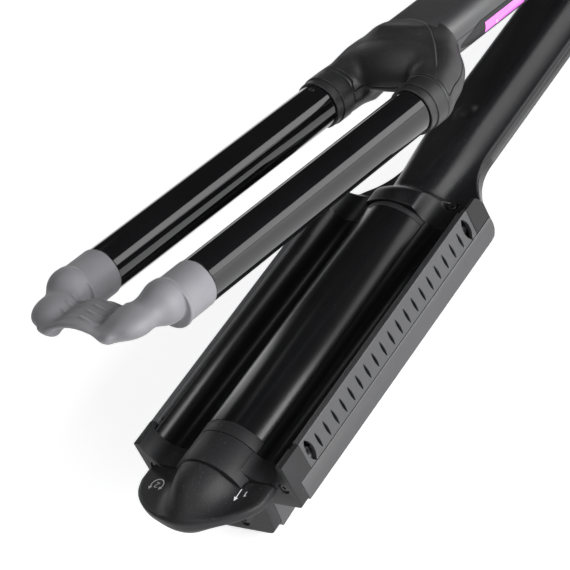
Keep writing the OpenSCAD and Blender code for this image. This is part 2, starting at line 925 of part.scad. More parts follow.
module upper_handle_bottom() {
    color("#262528") opened() difference() {
        union() {
            intersection() {
                handle_shell();
                along_y(0, big) slab(-big, big, -big, grip_split);
            }
            difference() {
                hull() {
                    along_y(upper_y1 - 10, upper_y1 - 6)
                        slab(-knuckle_hw, knuckle_hw, upper_mid - upper_grip_h / 2 + 0.6, upper_mid + 2);
                    along_x(-knuckle_hw, knuckle_hw) translate([hinge_y, hinge_z])
                        circle(knuckle_r, $fn = 96);
                }
                along_y(0, upper_y1 + 5) slab(-big, big, grip_split, big);
            }
            swivel_axis(hinge_y, swivel_y0 + 12) circle(8);
            for (y = [panel_y0 + 12, panel_y1 - 14]) translate([board_x - 2.2, y, upper_mid - 8.5])
                cube([2.1, 4, 7]);
        }
        along_x(-big, big) translate([hinge_y, hinge_z]) circle(pin_r + 1.52);
        along_x(-4, 4) translate([hinge_y, hinge_z]) circle(pin_r + 4);
        translate([0, swivel_y0 + 0.5, hinge_z + swivel_up]) rotate([70, 0, 0])
            cylinder(r = 1.6, h = 42, $fn = 24);
        swivel_axis(swivel_y0, swivel_y0 + 13) circle(swivel_r + run);
        swivel_axis(swivel_y0 + 3, swivel_y0 + 7) circle(swivel_r + 1 + play);
    }
}

module hinge_bushes() {
    color("#c9c6bd") opened() both_sides() along_x(4.4, knuckle_hw)
        translate([hinge_y, hinge_z]) difference() {
            circle(pin_r + 1.5);
            circle(pin_r + run);
        }
}

module handle_skin() {
    difference() {
        upper_grip(0);
        upper_grip(shell_t);
    }
}

module window_plan(grow) {
    translate([window_y0 + window_l / 2, panel_mid])
        square([window_l + 2 * grow, window_h + 2 * grow], center = true);
}

module control_panel() {
    color("#19181b") opened() difference() {
        intersection() {
            along_y(panel_y0 - 2, panel_y1 + 2) handle_skin();
            along_x(8, grip_w) panel_leaf(0);
        }
        along_x(8, grip_w) window_plan(0.05);
        along_x(8, grip_w) for (y = button_y) translate([y, panel_mid]) circle(button_r + 0.3);
    }
}

module panel_window() {
    color("#e04fc0") opened() intersection() {
        along_y(panel_y0, panel_y1) handle_skin();
        along_x(8, grip_w) window_plan(0);
    }
}

module circuit_board() {
    color("#2f5a3a") opened() translate([board_x, panel_y0 + 8, upper_mid - 7])
        cube([board_t, panel_y1 - panel_y0 - 12, 13]);
}

function flank_x(z) = grip_w / 2 - upper_grip_r + sqrt(max(0, pow(upper_grip_r, 2)
    - pow(max(0, abs(z - upper_mid) - (upper_grip_h / 2 - upper_grip_r)), 2)));
button_x1 = flank_x(panel_mid) + 0.4;
button_l = 4.6;

module tact_switches() {
    x1 = button_x1 - button_l - button_travel - 0.2;
    color("#8c8c90") opened() for (y = button_y)
        translate([board_x + board_t, y - 3, panel_mid - 3]) cube([x1 - board_x - board_t, 6, 6]);
}

module indicator_leds() {
    color("#f0e6f0") opened() for (i = [0:2])
        translate([board_x + board_t, window_y0 + 4 + i * (window_l - 11) / 2, panel_mid - 1])
            cube([1.2, 3, 2]);
}

module button(i) {
    color("#3a393e") opened() along_x(button_x1 - button_l, button_x1)
        translate([button_y[i], panel_mid]) circle(button_r);
}

module power_button() {
    button(0);
}

module plus_button() {
    button(1);
}

module minus_button() {
    button(2);
}

// Swivel bush that the supply cord enters
module cord_swivel() {
    color("#1b1a1d") opened() difference() {
        union() {
            swivel_axis(swivel_y0 + play, swivel_y0 + swivel_l) circle(swivel_r);
            swivel_axis(swivel_y0 + 3 + play, swivel_y0 + 7 - play) circle(swivel_r + 1);
        }
        swivel_axis(swivel_y0 - 1, swivel_y0 + swivel_l + 1) circle(cord_d / 2 + 0.1);
    }
}

lower_shell();
end_cap();
cap_screws();
vent_panel_left();
vent_panel_right();
panel_screws();
trough_plate_left();
trough_plate_right();
trough_heaters();
heater_carriers();
lower_handle_top();
lower_handle_bottom();
hinge_pin();
hinge_spring();
hinge_caps();
wave_drum();
drum_band_front();
drum_band_rear();
drum_heater();
knob_spring();
turn_knob();
knob_shaft();
barrel_left();
barrel_right();
barrel_heaters();
collar_left();
collar_right();
barrel_screws();
cool_tip();
tip_screws();
yoke_frame();
yoke_top();
yoke_bottom();
upper_handle_top();
upper_handle_bottom();
control_panel();
panel_window();
circuit_board();
tact_switches();
indicator_leds();
hinge_bushes();
power_button();
plus_button();
minus_button();
cord_swivel();
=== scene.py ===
# %% [markdown]
# # A hair waver, dressed for its photograph
# The tool is a long pair of tongs. Its upper arm is a fork of two black barrels with a grey cool
# tip, and its lower arm is a jaw with two troughs and a hump that can be turned by a winged knob.
# The exact parts come from a imported CAD model. They stay where they are, and this script gives
# them the surfaces, rounded edges, prints and finishes that the real tool has.

# %% [markdown]
# ## The frame
# The imported parts are loaded first.

# %% Load the imported parts
import json
import math

import bmesh
import bpy
import numpy as np
from mathutils import Matrix, Vector
from mathutils.bvhtree import BVHTree

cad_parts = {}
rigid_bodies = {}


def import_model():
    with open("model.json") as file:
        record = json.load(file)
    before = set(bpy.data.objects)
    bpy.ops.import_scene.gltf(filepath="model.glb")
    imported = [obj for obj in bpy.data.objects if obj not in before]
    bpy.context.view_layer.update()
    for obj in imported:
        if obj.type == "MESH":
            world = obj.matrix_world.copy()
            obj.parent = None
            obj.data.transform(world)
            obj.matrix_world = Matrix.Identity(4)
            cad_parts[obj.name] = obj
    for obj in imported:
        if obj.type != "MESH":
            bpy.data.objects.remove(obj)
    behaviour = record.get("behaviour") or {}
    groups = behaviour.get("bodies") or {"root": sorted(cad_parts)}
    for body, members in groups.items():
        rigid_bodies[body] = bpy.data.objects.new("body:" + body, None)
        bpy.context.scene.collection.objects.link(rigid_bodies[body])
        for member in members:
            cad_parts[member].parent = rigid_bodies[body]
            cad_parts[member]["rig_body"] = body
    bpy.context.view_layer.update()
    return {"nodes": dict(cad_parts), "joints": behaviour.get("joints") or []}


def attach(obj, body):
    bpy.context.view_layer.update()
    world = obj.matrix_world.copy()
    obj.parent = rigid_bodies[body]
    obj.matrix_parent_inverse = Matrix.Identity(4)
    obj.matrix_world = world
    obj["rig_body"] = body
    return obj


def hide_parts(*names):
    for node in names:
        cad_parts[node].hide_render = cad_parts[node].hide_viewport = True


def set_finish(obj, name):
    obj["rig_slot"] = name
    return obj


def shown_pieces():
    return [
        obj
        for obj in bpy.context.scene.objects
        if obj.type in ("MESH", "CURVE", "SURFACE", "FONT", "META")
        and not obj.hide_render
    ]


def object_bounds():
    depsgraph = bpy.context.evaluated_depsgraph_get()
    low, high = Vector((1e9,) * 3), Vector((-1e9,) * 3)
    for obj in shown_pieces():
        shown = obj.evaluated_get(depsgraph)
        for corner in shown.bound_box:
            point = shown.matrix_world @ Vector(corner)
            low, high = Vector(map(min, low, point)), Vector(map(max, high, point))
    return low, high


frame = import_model()

# %% [markdown]
# ## Two drawing boards
# A maker draws the jaw with its lips at height zero and the front of its end cap at zero length,
# because the sections are then simple numbers. The tool stands tilted on its foot, and the fork
# is swung open about the hinge pin. So every piece is drawn in millimetres on one of two boards,
# the jaw's or the closed fork's, and a matrix carries it into the frame. The matrices are worked
# out from the joints, so they can't drift from the CAD.

# %% Boards for the jaw and for the fork
joints = {joint["name"]: joint for joint in frame["joints"]}
hinge = joints["main_hinge"]
drum_axis = Vector(joints["drum_turn"]["axis"])
drum_place = Vector(joints["drum_turn"]["pos_m"])
tilt = math.atan2(drum_axis.z, drum_axis.y)
open_angle = math.radians(hinge["range_deg"][1])
mm = 0.001
axis_z = -13.005  # the hump's axis below the lips
hinge_y = 322.0
hinge_z = -14.0

jaw_board = (Matrix.Translation(drum_place) @ Matrix.Rotation(tilt, 4, "X")
             @ Matrix.Translation((0, 0, -axis_z * mm)) @ Matrix.Scale(mm, 4))
fork_board = (jaw_board @ Matrix.Translation((0, hinge_y, hinge_z))
              @ Matrix.Rotation(-open_angle, 4, "X") @ Matrix.Translation((0, -hinge_y, -hinge_z)))
print("tilt", round(math.degrees(tilt), 3), "hinge off by",
      (jaw_board @ Vector((0, hinge_y, hinge_z)) - Vector(hinge["pos_m"])).length)

# %% [markdown]
# ## Sizes
# The driving sizes of the tool, in millimetres on the two boards. They are the ones that the
# parts were built with, and every outline below is worked out from them.

# %% Driving sizes
barrel_r = 9.5
trough_x = 24.1
trough_r = barrel_r + 1.2
lip_w = 3.3
jaw_hw = trough_x + trough_r + lip_w
drum_r = 16.505
wall_h = 22.4
strip_h = 13.2
plates_y1 = 143.5
jaw_end = 156.0
strip_y0 = 12.5
strip_y1 = 145.3
barrel_y0 = 5.2
barrel_y1 = 145.9
collar_y1 = barrel_y1 + 11
tip_r = barrel_r + 0.4
grip_hw = 17.0
lower_mid = -12.0
lower_hh = 11.0
upper_mid = 9.55
upper_hh = 9.75
clevis_y = 296.0
print("jaw", round(2 * jaw_hw, 1), "mm wide, crest", round(axis_z + drum_r, 2), "mm above its lips")

# %% [markdown]
# ## Camera
# The photograph looks down on the tip from the front right with a long lens. The place and the
# three directions below were solved once from points of the picture, so the render can be laid
# over it.

# %% The photograph's camera
camera_place = Vector((0.756784, -0.511243, 0.771403))
camera_right = Vector((0.766305, 0.491094, -0.414252))
camera_back = Vector((0.636011, -0.488597, 0.597296))
camera_lens = 189.98
sensor_width = 36
far_clip = 20

camera_data = bpy.data.cameras.new("photo_camera")
camera_data.lens = camera_lens
camera_data.sensor_width = sensor_width
camera_data.clip_end = far_clip
camera = bpy.data.objects.new("photo_camera", camera_data)
camera_up = camera_back.cross(camera_right)
camera.matrix_world = Matrix.Translation(camera_place) @ Matrix(
    (camera_right, camera_up, camera_back)).transposed().to_4x4()
bpy.context.scene.collection.objects.link(camera)
bpy.context.scene.camera = camera
print("camera", [round(c, 3) for c in camera_place], "lens", camera_lens)

# %% [markdown]
# ## Making and placing a mesh
# Every new piece goes through the same door: points on a board are carried into the frame, the
# piece rides on its body, stands for its CAD node and names the finish it takes.

# %% Place a piece
def place(name, points, faces, board, body, node=None, slot=None, smooth=True):
    data = bpy.data.meshes.new(name)
    data.from_pydata([board @ Vector(p) for p in points], [], faces)
    data.update()
    data.shade_smooth() if smooth else data.shade_flat()
    piece = bpy.data.objects.new(name, data)
    bpy.context.scene.collection.objects.link(piece)
    return dress(piece, body, node, slot)


def dress(piece, body, node=None, slot=None):
    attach(piece, body)
    if node:
        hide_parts(*([node] if isinstance(node, str) else node))
    if slot:
        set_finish(piece, slot)
    return piece


# %% [markdown]
# ## Settled modifiers
# A bevel could stay a live modifier, but here its result becomes the mesh itself.

# %% Apply what is on a piece
edge_angle = 32


def settle(piece):
    graph = bpy.context.evaluated_depsgraph_get()
    done = bpy.data.meshes.new_from_object(piece.evaluated_get(graph))
    piece.modifiers.clear()
    piece.data = done
    return piece


def bevel(piece, width):
    soft = piece.modifiers.new("bevel", "BEVEL")
    soft.width = width * mm
    soft.segments = 2
    soft.limit_method = "ANGLE"
    soft.angle_limit = math.radians(edge_angle)
    soft.use_clamp_overlap = True
    soft.miter_outer = "MITER_ARC"
    return settle(piece)


def smooth_by_angle(piece, angle):
    piece.data.shade_smooth()
    piece.data.set_sharp_from_angle(angle=math.radians(angle))
    return piece


# %% [markdown]
# ## Rounding an exact part
# Many CAD parts already have the right shape, but a moulding never has a razor edge: its edges
# carry a thin highlight. A copy of the part's mesh is welded, cleaned and bevelled by a fraction
# of a millimetre, and takes the part's place. A few corners are rounded by some millimetres first,
# while their edges are still the CAD's.

# %% Copy a part and round its edges
weld_gap = 2e-6
flat_angle = math.radians(0.4)


def round_corner(work, chosen, radius):
    to_board = jaw_board.inverted()
    edges = [edge for edge in work.edges if chosen(*[to_board @ vert.co for vert in edge.verts])]
    bmesh.ops.bevel(work, geom=edges, offset=radius * mm, segments=6, profile=0.5,
                    affect="EDGES", clamp_overlap=True)
    print("large corners on", len(edges), "edges, asked for", radius, "mm")


def rounded(node, width, slot, corners):
    source = frame["nodes"][node]
    work = bmesh.new()
    work.from_mesh(source.data)
    bmesh.ops.remove_doubles(work, verts=work.verts, dist=weld_gap)
    bmesh.ops.dissolve_limit(work, angle_limit=flat_angle, verts=work.verts, edges=work.edges)
    for chosen, radius in corners:
        round_corner(work, chosen, radius)
    data = bpy.data.meshes.new(node + "_moulded")
    work.to_mesh(data)
    work.free()
    piece = bpy.data.objects.new(node + "_moulded", data)
    bpy.context.scene.collection.objects.link(piece)
    bevel(piece, width)
    smooth_by_angle(piece, 38)
    return dress(piece, source["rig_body"], node, slot)


# %% [markdown]
# ## Soft forms from a distance field
# The cool tip, the yoke, the knob and the rear cap are blends: one form runs into the next with no
# edge between them. Such a shape is awkward to build from loops of quads, and simple to say as a
# distance field, a function that is negative inside the shape. Fields are joined with a soft
# minimum and cut with a soft maximum, whose last number is how far the blend reaches.

# %% Fields and how they join
def soft_min(a, b, reach):
    share = np.clip(0.5 + 0.5 * (b - a) / reach, 0, 1)
    return b + (a - b) * share - reach * share * (1 - share)


def soft_max(a, b, reach):
    return -soft_min(-a, -b, reach)


# %% [markdown]
# A few plain forms make up every piece: a ball or egg, a rod that can taper, and two sections, a
# disc and a plate with round corners. A section becomes solid by running it along an axis between
# two ends, whose edges are rounded too.

# %% Plain forms
def ball(p, centre, radii):
    r = (radii,) * 3 if np.isscalar(radii) else radii
    q = [p[i] - centre[i] for i in range(3)]
    near = np.sqrt(sum((q[i] / r[i]) ** 2 for i in range(3)))
    slope = np.sqrt(sum((q[i] / r[i] ** 2) ** 2 for i in range(3)))
    return near * (near - 1) / np.maximum(slope, 1e-6)


def rod(p, a, b, ra, rb):
    line = [b[i] - a[i] for i in range(3)]
    length2 = sum(c * c for c in line)
    t = np.clip(sum((p[i] - a[i]) * line[i] for i in range(3)) / length2, 0, 1)
    return np.sqrt(sum((p[i] - a[i] - t * line[i]) ** 2 for i in range(3))) - (ra + t * (rb - ra))


def disc(u, v, cu, cv, r):
    return np.hypot(u - cu, v - cv) - r


def plate(u, v, cu, cv, hu, hv, r):
    du = np.abs(u - cu) - (hu - r)
    dv = np.abs(v - cv) - (hv - r)
    return np.hypot(np.maximum(du, 0), np.maximum(dv, 0)) + np.minimum(np.maximum(du, dv), 0) - r


def run(section, along, start, end, edge):
    across = np.maximum(start - along, along - end) + edge
    section = section + edge
    return (np.minimum(np.maximum(section, across), 0)
            + np.hypot(np.maximum(section, 0), np.maximum(across, 0)) - edge)


def ease(t):
    t = np.clip(t, 0, 1)
    return t * t * (3 - 2 * t)


# %% [markdown]
# The skin of a field is found on a grid. The first step looks along one axis for grid edges whose
# ends lie on different sides of the surface, and says how far along the edge it crosses.

# %% Where the surface crosses the grid
def crossings(values, axis):
    low = [slice(None)] * 3
    high = [slice(None)] * 3
    low[axis] = slice(0, -1)
    high[axis] = slice(1, None)
    a, b = values[tuple(low)], values[tuple(high)]
    found = np.argwhere((a < 0) != (b < 0))
    before, after = a[tuple(found.T)], b[tuple(found.T)]
    return found, before / (before - after), before < 0


# %% [markdown]
# Every cell that the surface crosses then gets one point, at the mean of the crossings on the
# cell's edges, and every crossed edge gets one quad between the four cells round it. Remeshing a
# rough shape would give a skin too, but only this way knows the exact surface.

# %% The skin of a field
def skin(field, low, high, cell):
    counts = [int(math.ceil((high[i] - low[i]) / cell)) + 1 for i in range(3)]
    lines = [low[i] + cell * np.arange(counts[i], dtype=np.float32) for i in range(3)]
    values = field(np.meshgrid(*lines, indexing="ij"))
    cells = np.array(counts) - 1
    total = int(cells.prod())
    sums, hits, quads = np.zeros((total, 3)), np.zeros(total), []
    for axis in range(3):
        found, share, inside_first = crossings(values, axis)
        spots = found.astype(float)
        spots[:, axis] += share
        u, v = [i for i in range(3) if i != axis]
        ring = []
        for du, dv in ((0, 0), (-1, 0), (-1, -1), (0, -1)):
            cell_at = found.copy()
            cell_at[:, u] += du
            cell_at[:, v] += dv
            ring.append(cell_at)
        inner = np.all([np.all((c >= 0) & (c < cells), axis=1) for c in ring], axis=0)
        flat = [np.ravel_multi_index(c[inner].T, cells) for c in ring]
        for index in flat:
            hits += np.bincount(index, minlength=total)
            for i in range(3):
                sums[:, i] += np.bincount(index, weights=spots[inner, i], minlength=total)
        quad = np.stack(flat, axis=1)
        turn = inside_first[inner] != (axis == 1)
        quad[~turn] = quad[~turn][:, ::-1]
        quads.append(quad)
    used = np.flatnonzero(hits)
    renumber = np.zeros(total, int)
    renumber[used] = np.arange(len(used))
    points = np.array(low) + cell * sums[used] / hits[used, None]
    return on_surface(field, points, cell), renumber[np.concatenate(quads)]


# %% [markdown]
# Two steps along the field's slope put each point on the true surface. A step is at most half a
# cell long, so no point can leave its cell's neighbourhood.

# %% Points drawn to the surface
def on_surface(field, points, cell):
    h = 0.1 * cell
    for _ in range(2):
        here = field(list(points.T))
        ahead = [field(list((points + h * np.eye(3)[i]).T)) for i in range(3)]
        slope = np.stack([(a - here) / h for a in ahead], 1)
        step = -here[:, None] * slope / np.maximum((slope ** 2).sum(1), 0.05)[:, None]
        size = np.linalg.norm(step, axis=1, keepdims=True)
        points = points + step * np.minimum(1, 0.5 * cell / np.maximum(size, 1e-9))
    return points


def moulded(name, field, low, high, cell, board, body, node, slot):
    points, quads = skin(field, low, high, cell)
    piece = place(name, points.tolist(), quads.tolist(), board, body, node, slot)
    print(name, len(points), "points")
    return piece


# %% [markdown]
# The neck's width and the height of the yoke's seam change along the tool. They are given at a few
# stations, and a smooth curve runs through them.

# %% A smooth curve through stations
def follow(t, stations, values):
    s, v = np.array(stations, float), np.array(values, float)
    slopes = np.gradient(v, s)
    t = np.clip(t, s[0], s[-1])
    i = np.clip(np.searchsorted(s, t, side="right") - 1, 0, len(s) - 2)
    h = s[i + 1] - s[i]
    u = (t - s[i]) / h
    return ((1 + 2 * u) * (1 - u) ** 2 * v[i] + u * (1 - u) ** 2 * h * slopes[i]
            + u * u * (3 - 2 * u) * v[i + 1] - u * u * (1 - u) * h * slopes[i + 1])


# %% [markdown]
# ## Cool tip
# A grey, soft-touch moulding closes the fork's front end. It stays cool, so the thumb can steady
# the fork there. Each barrel ends in a socket, in front of it the tip swells into a lobe, and a
# thin bridge with four grip ridges joins both lobes. It could be sculpted, but its outline was
# measured as centres and radii, and those go straight into a field.

# %% Cool tip
bulb_at, bulb_r = (23.86, -12.93, 2.23), 8.83
lobe_at, lobe_r = (19.6, -25.83, 1.24), (8.86, 10.66, 5.86)
lobe_end = (14.17, -34.96, -0.23)
bridge_y, bridge_depth, bridge_t = -29.42, 9.98, 1.06
bridge_top, bridge_drop, bridge_hw = 5.0, 3.78, 14
ridges_y = (-20.6, -24.8, -29.0, -33.4)
ridge_h = 0.62
tip_cell = 0.4


def tip_ridges(x, y, above):
    side = np.sin(np.pi * np.minimum(x / 15, 1))
    height = 0
    for k, ridge_y in enumerate(ridges_y):
        reach = ease((15.5 - 1.1 * k - x) / 2.5) * ease((above + 3) / 2)
        off = (y - ridge_y + 1.5 * side) / ridge_h
        height = height + reach * (ridge_h * np.exp(-off * off) - 0.25 * np.exp(-(off - 2.2) ** 2))
    return height


def tip_field(p):
    x, y, z = np.abs(p[0]), p[1], p[2]
    q = (x, y, z)
    sleeve = run(disc(x, z, trough_x, 0, tip_r), y, -9.5, barrel_y0, 0.5)
    ring = run(disc(x, z, trough_x, 0, tip_r + 0.45), y, -10.8, -9.2, 0.6)
    bulb = ball(q, bulb_at, bulb_r)
    neck = rod(q, (trough_x, -10, 1.5), bulb_at, 8.0, 8.03)
    lobe = ball(q, lobe_at, lobe_r)
    front = rod(q, lobe_at, lobe_end, 4.63, 3.63)
    outside = np.maximum(x - bridge_hw, 0)
    arch = bridge_top - bridge_drop * (x / bridge_hw) ** 2 * np.exp(-outside / 6)
    bridge = plate(y, z - arch + bridge_t, bridge_y, 0, bridge_depth, bridge_t, 1.0)
    bridge = soft_max(bridge, x - 19, 3)
    body = soft_min(soft_min(np.minimum(bulb, neck), ring, 1.0), lobe, 4.43)
    body = soft_min(body, soft_min(front, bridge, 3.08), 3.08)
    return np.minimum(body, sleeve) - tip_ridges(x, y, z - arch)


moulded("cool_tip_grip", tip_field, (-36, -41, -12), (36, 6, 12.6), tip_cell,
        fork_board, "upper_arm", "cool_tip", "cool_grip")

# %% [markdown]
# ## Shape of the rear cap
# The rear cap, the neck and the handle's top half are one moulding, described here as a field: the
# hump's run-out, the neck and the flared block melt together, then the two troughs are cut right
# through so that the barrels' collars can lie in them when the tool is closed. The yoke's
# underside needs the same shape, because the closed yoke rests just above it.

# %% Rear cap's field
flare_l = 36
flare_play = 0.06
neck_y = (150, 160, 170, 181, 192, 200)
neck_hw = (12.6, 12.9, 13.8, 15.2, 16.6, 17)
neck_corner = 10.3
cap_slope_y, cap_slope_l, cap_drop = 152, 9, 11.8
cap_trough_r = 11.5
thumb_at, thumb_r = (3, 204, 12), 14
neck_screw_x, neck_screw_y = 18.6, 157.4
neck_screw_room = 2.8
cap_seam = 0.2
floor_z = -13.05


def flare_hw(y):
    share = np.clip(1 - (y - jaw_end) / flare_l, 0, 1)
    return grip_hw + (jaw_hw - flare_play - grip_hw) * share ** 2.2


def rear_mass(x, y, z):
    hump = run(disc(x, z, 0, axis_z, drum_r), y, 135, 153, 4)
    neck = plate(x, z, 0, lower_mid, follow(y, neck_y, neck_hw), lower_hh, neck_corner)
    top = -cap_drop * ease((y - cap_slope_y) / cap_slope_l)
    block = soft_max(x - flare_hw(y), z - top, 0.8)
    return soft_min(soft_min(hump, neck, 7), block, 6)


def rear_field(p):
    x, y, z = np.abs(p[0]), p[1], p[2]
    body = soft_max(rear_mass(x, y, z), -disc(x, z, trough_x, 0, cap_trough_r), 2.5)
    thumb = np.sqrt(sum((p[i] - thumb_at[i]) ** 2 for i in range(3)))
    body = soft_max(body, thumb_r - thumb, 0.5)
    hole = run(disc(x, y, neck_screw_x, neck_screw_y, neck_screw_room), z, -12.5, 12, 0.3)
    body = soft_max(body, -hole, 0.35)
    wall_notch = np.maximum(jaw_hw - 2.35 - x, y - strip_y1 - 0.15)
    body = soft_max(body, -wall_notch, 0.3)
    hinge_slot = np.maximum(x - 11.4, clevis_y - y)
    body = soft_max(body, -hinge_slot, 0.3)
    body = soft_max(body, floor_z - z, 0.3)
    return soft_max(body, np.maximum(plates_y1 + cap_seam - y, y - clevis_y), 0.4)


print("flare half-width", round(flare_hw(170.0), 1))

# %% [markdown]
# ## Yoke
# Behind the barrels a broad yoke gathers both arms of the fork into one handle. Each arm is a thick
# rounded leg that runs inwards and up, a dome fills the space between the legs, and both flow into
# the handle. The top cover is raised a little over a millimetre and its back edge stands crisp,
# like a shield. Modelled by hand, the three forms would need a net of loops where they meet, so
# they are blended as fields.

# %% Yoke's body
leg_start, leg_bend = (trough_x, 150, 0), (trough_x, 158, 0)
knee, wrist = (20.6, 169.28, 1.82), (13.2, 190.0, 10.4)
leg_r, knee_r, wrist_r = 10.9, 10.57, 5.6
dome_at, dome_r = (0, 175.86, 3.16), (28.93, 14.86, 15.18)
yoke_front, crotch_y, crotch_r = 157.1, 147.9, 12
yoke_end = 190.0


def yoke_body(p):
    x, y, z = np.abs(p[0]), p[1], p[2]
    q = (x, y, z)
    leg = np.minimum(rod(q, leg_start, leg_bend, leg_r, leg_r), rod(q, leg_bend, knee, leg_r, knee_r))
    leg = soft_min(leg, rod(q, knee, wrist, knee_r, wrist_r), 2)
    dome = ball(q, dome_at, dome_r)
    grip = run(plate(x, z, 0, upper_mid, grip_hw, upper_hh, 7.5) + 0.2, y, 178, 320, 4)
    body = soft_min(soft_min(leg, dome, 3.6), grip, 4)
    web = 0.4 - 0.32 * (y - 159.9) - 0.95 * np.maximum(x - 8.5, 0)
    body = soft_max(body, 0.8 * (web - z), 1.2)
    body = soft_max(body, yoke_front - y, 0.5)
    return soft_max(body, crotch_r - np.hypot(x, y - crotch_y), 0.9)


print("yoke's body", round(yoke_end - yoke_front, 1), "mm long")

# %% [markdown]
# The seam between the covers starts low at the front, rises along the side and meets the middle of
# the handle. Each cover stops a little short of it, so a fine dark line shows between them. The
# bottom cover also keeps clear of the rear cap, over which the fork closes.

# %% The two covers
seam_y = (156.9, 163, 174, 186, 200)
seam_z = (1.2, 2.4, 3.4, 8.6, upper_mid)
half_seam = 0.13
shield_h = 1.3
shield_end, shield_bow = 188.2, 0.0326
closed_gap = 0.6


def yoke_seam(p):
    step = p[1] - 158.9 + 2 * np.maximum(14 - np.abs(p[0]), 0)
    return np.minimum(p[2] - follow(p[1], seam_y, seam_z), step)


def yoke_top_field(p):
    raised = shield_h * ease((p[1] - 163) / 9) * ease((p[2] - 4) / 6)
    body = yoke_body(p)
    shield = soft_max(body - raised, p[1] - shield_end + shield_bow * p[0] ** 2, 0.3)
    under = soft_max(body, p[1] - yoke_end, 0.3)
    return soft_max(np.minimum(shield, under), half_seam - yoke_seam(p), 0.4)


def yoke_bottom_field(p):
    body = soft_max(yoke_body(p), p[1] - yoke_end, 0.3)
    body = soft_max(body, closed_gap - rear_field(p), 0.3)
    return soft_max(body, yoke_seam(p) + half_seam, 0.4)


moulded("yoke_top_cover", yoke_top_field, (-37, 155, -3), (37, 192, 23), 0.42,
        fork_board, "upper_arm", "yoke_top", "black_shell")
moulded("yoke_bottom_cover", yoke_bottom_field, (-37, 155, -13), (37, 192, 13), 0.45,
        fork_board, "upper_arm", "yoke_bottom", "black_shell")

# %% [markdown]
# ## Bracket in the yoke
# Inside the covers a bent metal bracket plugs into both barrels. It must stay under the thin web
# at the crotch, so it is the plugs, two end plates and a flat plate, all kept a millimetre and
# a half inside the covers and clear of the closed rear cap.

# %% Bracket
plug_r = 7.6
cover_wall = 1.5
bracket_gap = 0.8


def bracket_field(p):
    x, y, z = np.abs(p[0]), p[1], p[2]
    plug = run(disc(x, z, trough_x, 0, plug_r), y, 136, 159, 0.3)
    end = run(plate(x, z, trough_x, 0, 5, 6, 0.5), y, 158.5, 161.5, 0.3)
    strap = run(plate(x, z, 0, 3, 24, 1, 0.5), y, 160, 188, 0.3)
    room = np.maximum(yoke_body(p) + cover_wall, bracket_gap - rear_field(p))
    room = np.where(y > yoke_front + 0.5, room, -1)
    return soft_max(np.minimum(np.minimum(plug, end), strap), room, 0.2)


moulded("yoke_bracket", bracket_field, (-34, 135, -9), (34, 190, 9), 0.8,
        fork_board, "upper_arm", "yoke_frame", "steel")

# %% [markdown]
# ## Tip knob
# The winged knob at the jaw's front turns the hump. Two flat wings give the fingers a grip, their
# front half is bent up a little, and between them a nose carries the hump's round crest forward
# and down. Seen from above the wings are a flat oval whose exponent is a little under two, and
# their back is cut to fit round the end cap's boss.

# %% Tip knob
wing_middle = -2.9
wing_half, wing_reach, wing_power = 31.8, 20.9, 1.75
wing_straight_y, wing_bend_y = -7, -10.5
wing_lift = math.tan(math.radians(8.5))
wing_t = 2.3
nose_at = (0, -4.5, 0)
nose_high, nose_low = (14.2, 21.4, 16.0), (14.0, 21.4, 9.5)
knob_back = 0.4
boss_r, boss_y = 16.9, -5.4


def wing_field(p, z):
    side = np.abs(p[0] - wing_middle) / wing_half
    ahead = np.maximum(wing_straight_y - p[1], 0) / wing_reach
    bow = (side ** wing_power + ahead ** wing_power) ** (1 / wing_power)
    lift = wing_lift * np.maximum(wing_bend_y - p[1], 0)
    wing = run((bow - 1) * 20, z - lift, -wing_t, wing_t, 1.5)
    return soft_max(wing, p[1] + knob_back, 0.5)


def knob_field(p):
    x, y, z = np.abs(p[0]), p[1], p[2] - axis_z
    high = ball((x, y, np.maximum(z, 0)), nose_at, nose_high)
    low = ball((x, y, np.minimum(z, 0)), nose_at, nose_low)
    nose = soft_max(np.where(z > 0, high, low), y + 5.5, 0.5)
    body = soft_min(wing_field(p, z), nose, 7)
    boss = soft_max(disc(x, z, 0, 0, boss_r), boss_y - y, 0.3)
    return soft_max(soft_max(body, -boss, 0.4), y + knob_back, 0.4)


turn_knob = moulded("turn_knob_wings", knob_field, (-36, -30, axis_z - 14), (33, 1, axis_z + 19),
                    0.45, jaw_board, "knob", "turn_knob", "dark_cap")

# %% [markdown]
# ## Rear cap, neck and handle
# Behind the jaw one long moulding takes up the troughs, narrows to a neck and becomes the handle's
# top half. Its field is the one written down before the yoke. The hump's round back sinks into the
# neck, the troughs run out over the flare, and a hole beside each side of the neck takes a screw.

# %% Rear cap and handle top
moulded("lower_handle_top_moulding", rear_field, (-39, 143, -13.6), (39, 297, 5), 0.5,
        jaw_board, "lower_arm", "lower_handle_top", "black_shell")

# %% [markdown]
# ## Vented side walls
# Each side wall carries nineteen slits that let the heat out. A slit is the lens that two
# circles share, so its ends are pointed. At both ends of the row a long leaf-shaped recess
# takes a screw.

# %% Side walls
def leaf(y, z, half_l, half_w):
    r = (half_l ** 2 + half_w ** 2) / (2 * half_w)
    return np.maximum(disc(y, z, r - half_w, 0, r), disc(y, z, half_w - r, 0, r))


strip_hh = strip_h / 2 - 0.075
lip_hh = 0.9
slit_count, slit_first, slit_pitch = 19, 22.5, 6.2667
slit_z, slit_hl, slit_hw, slit_lean = -7.5, 4.3, 0.72, 0.08
recess_y = (16.5, 141.3)
recess_z, recess_hl, recess_hw, recess_lean = -7, 5.9, 2.15, 0.1
wall_cell = 0.3


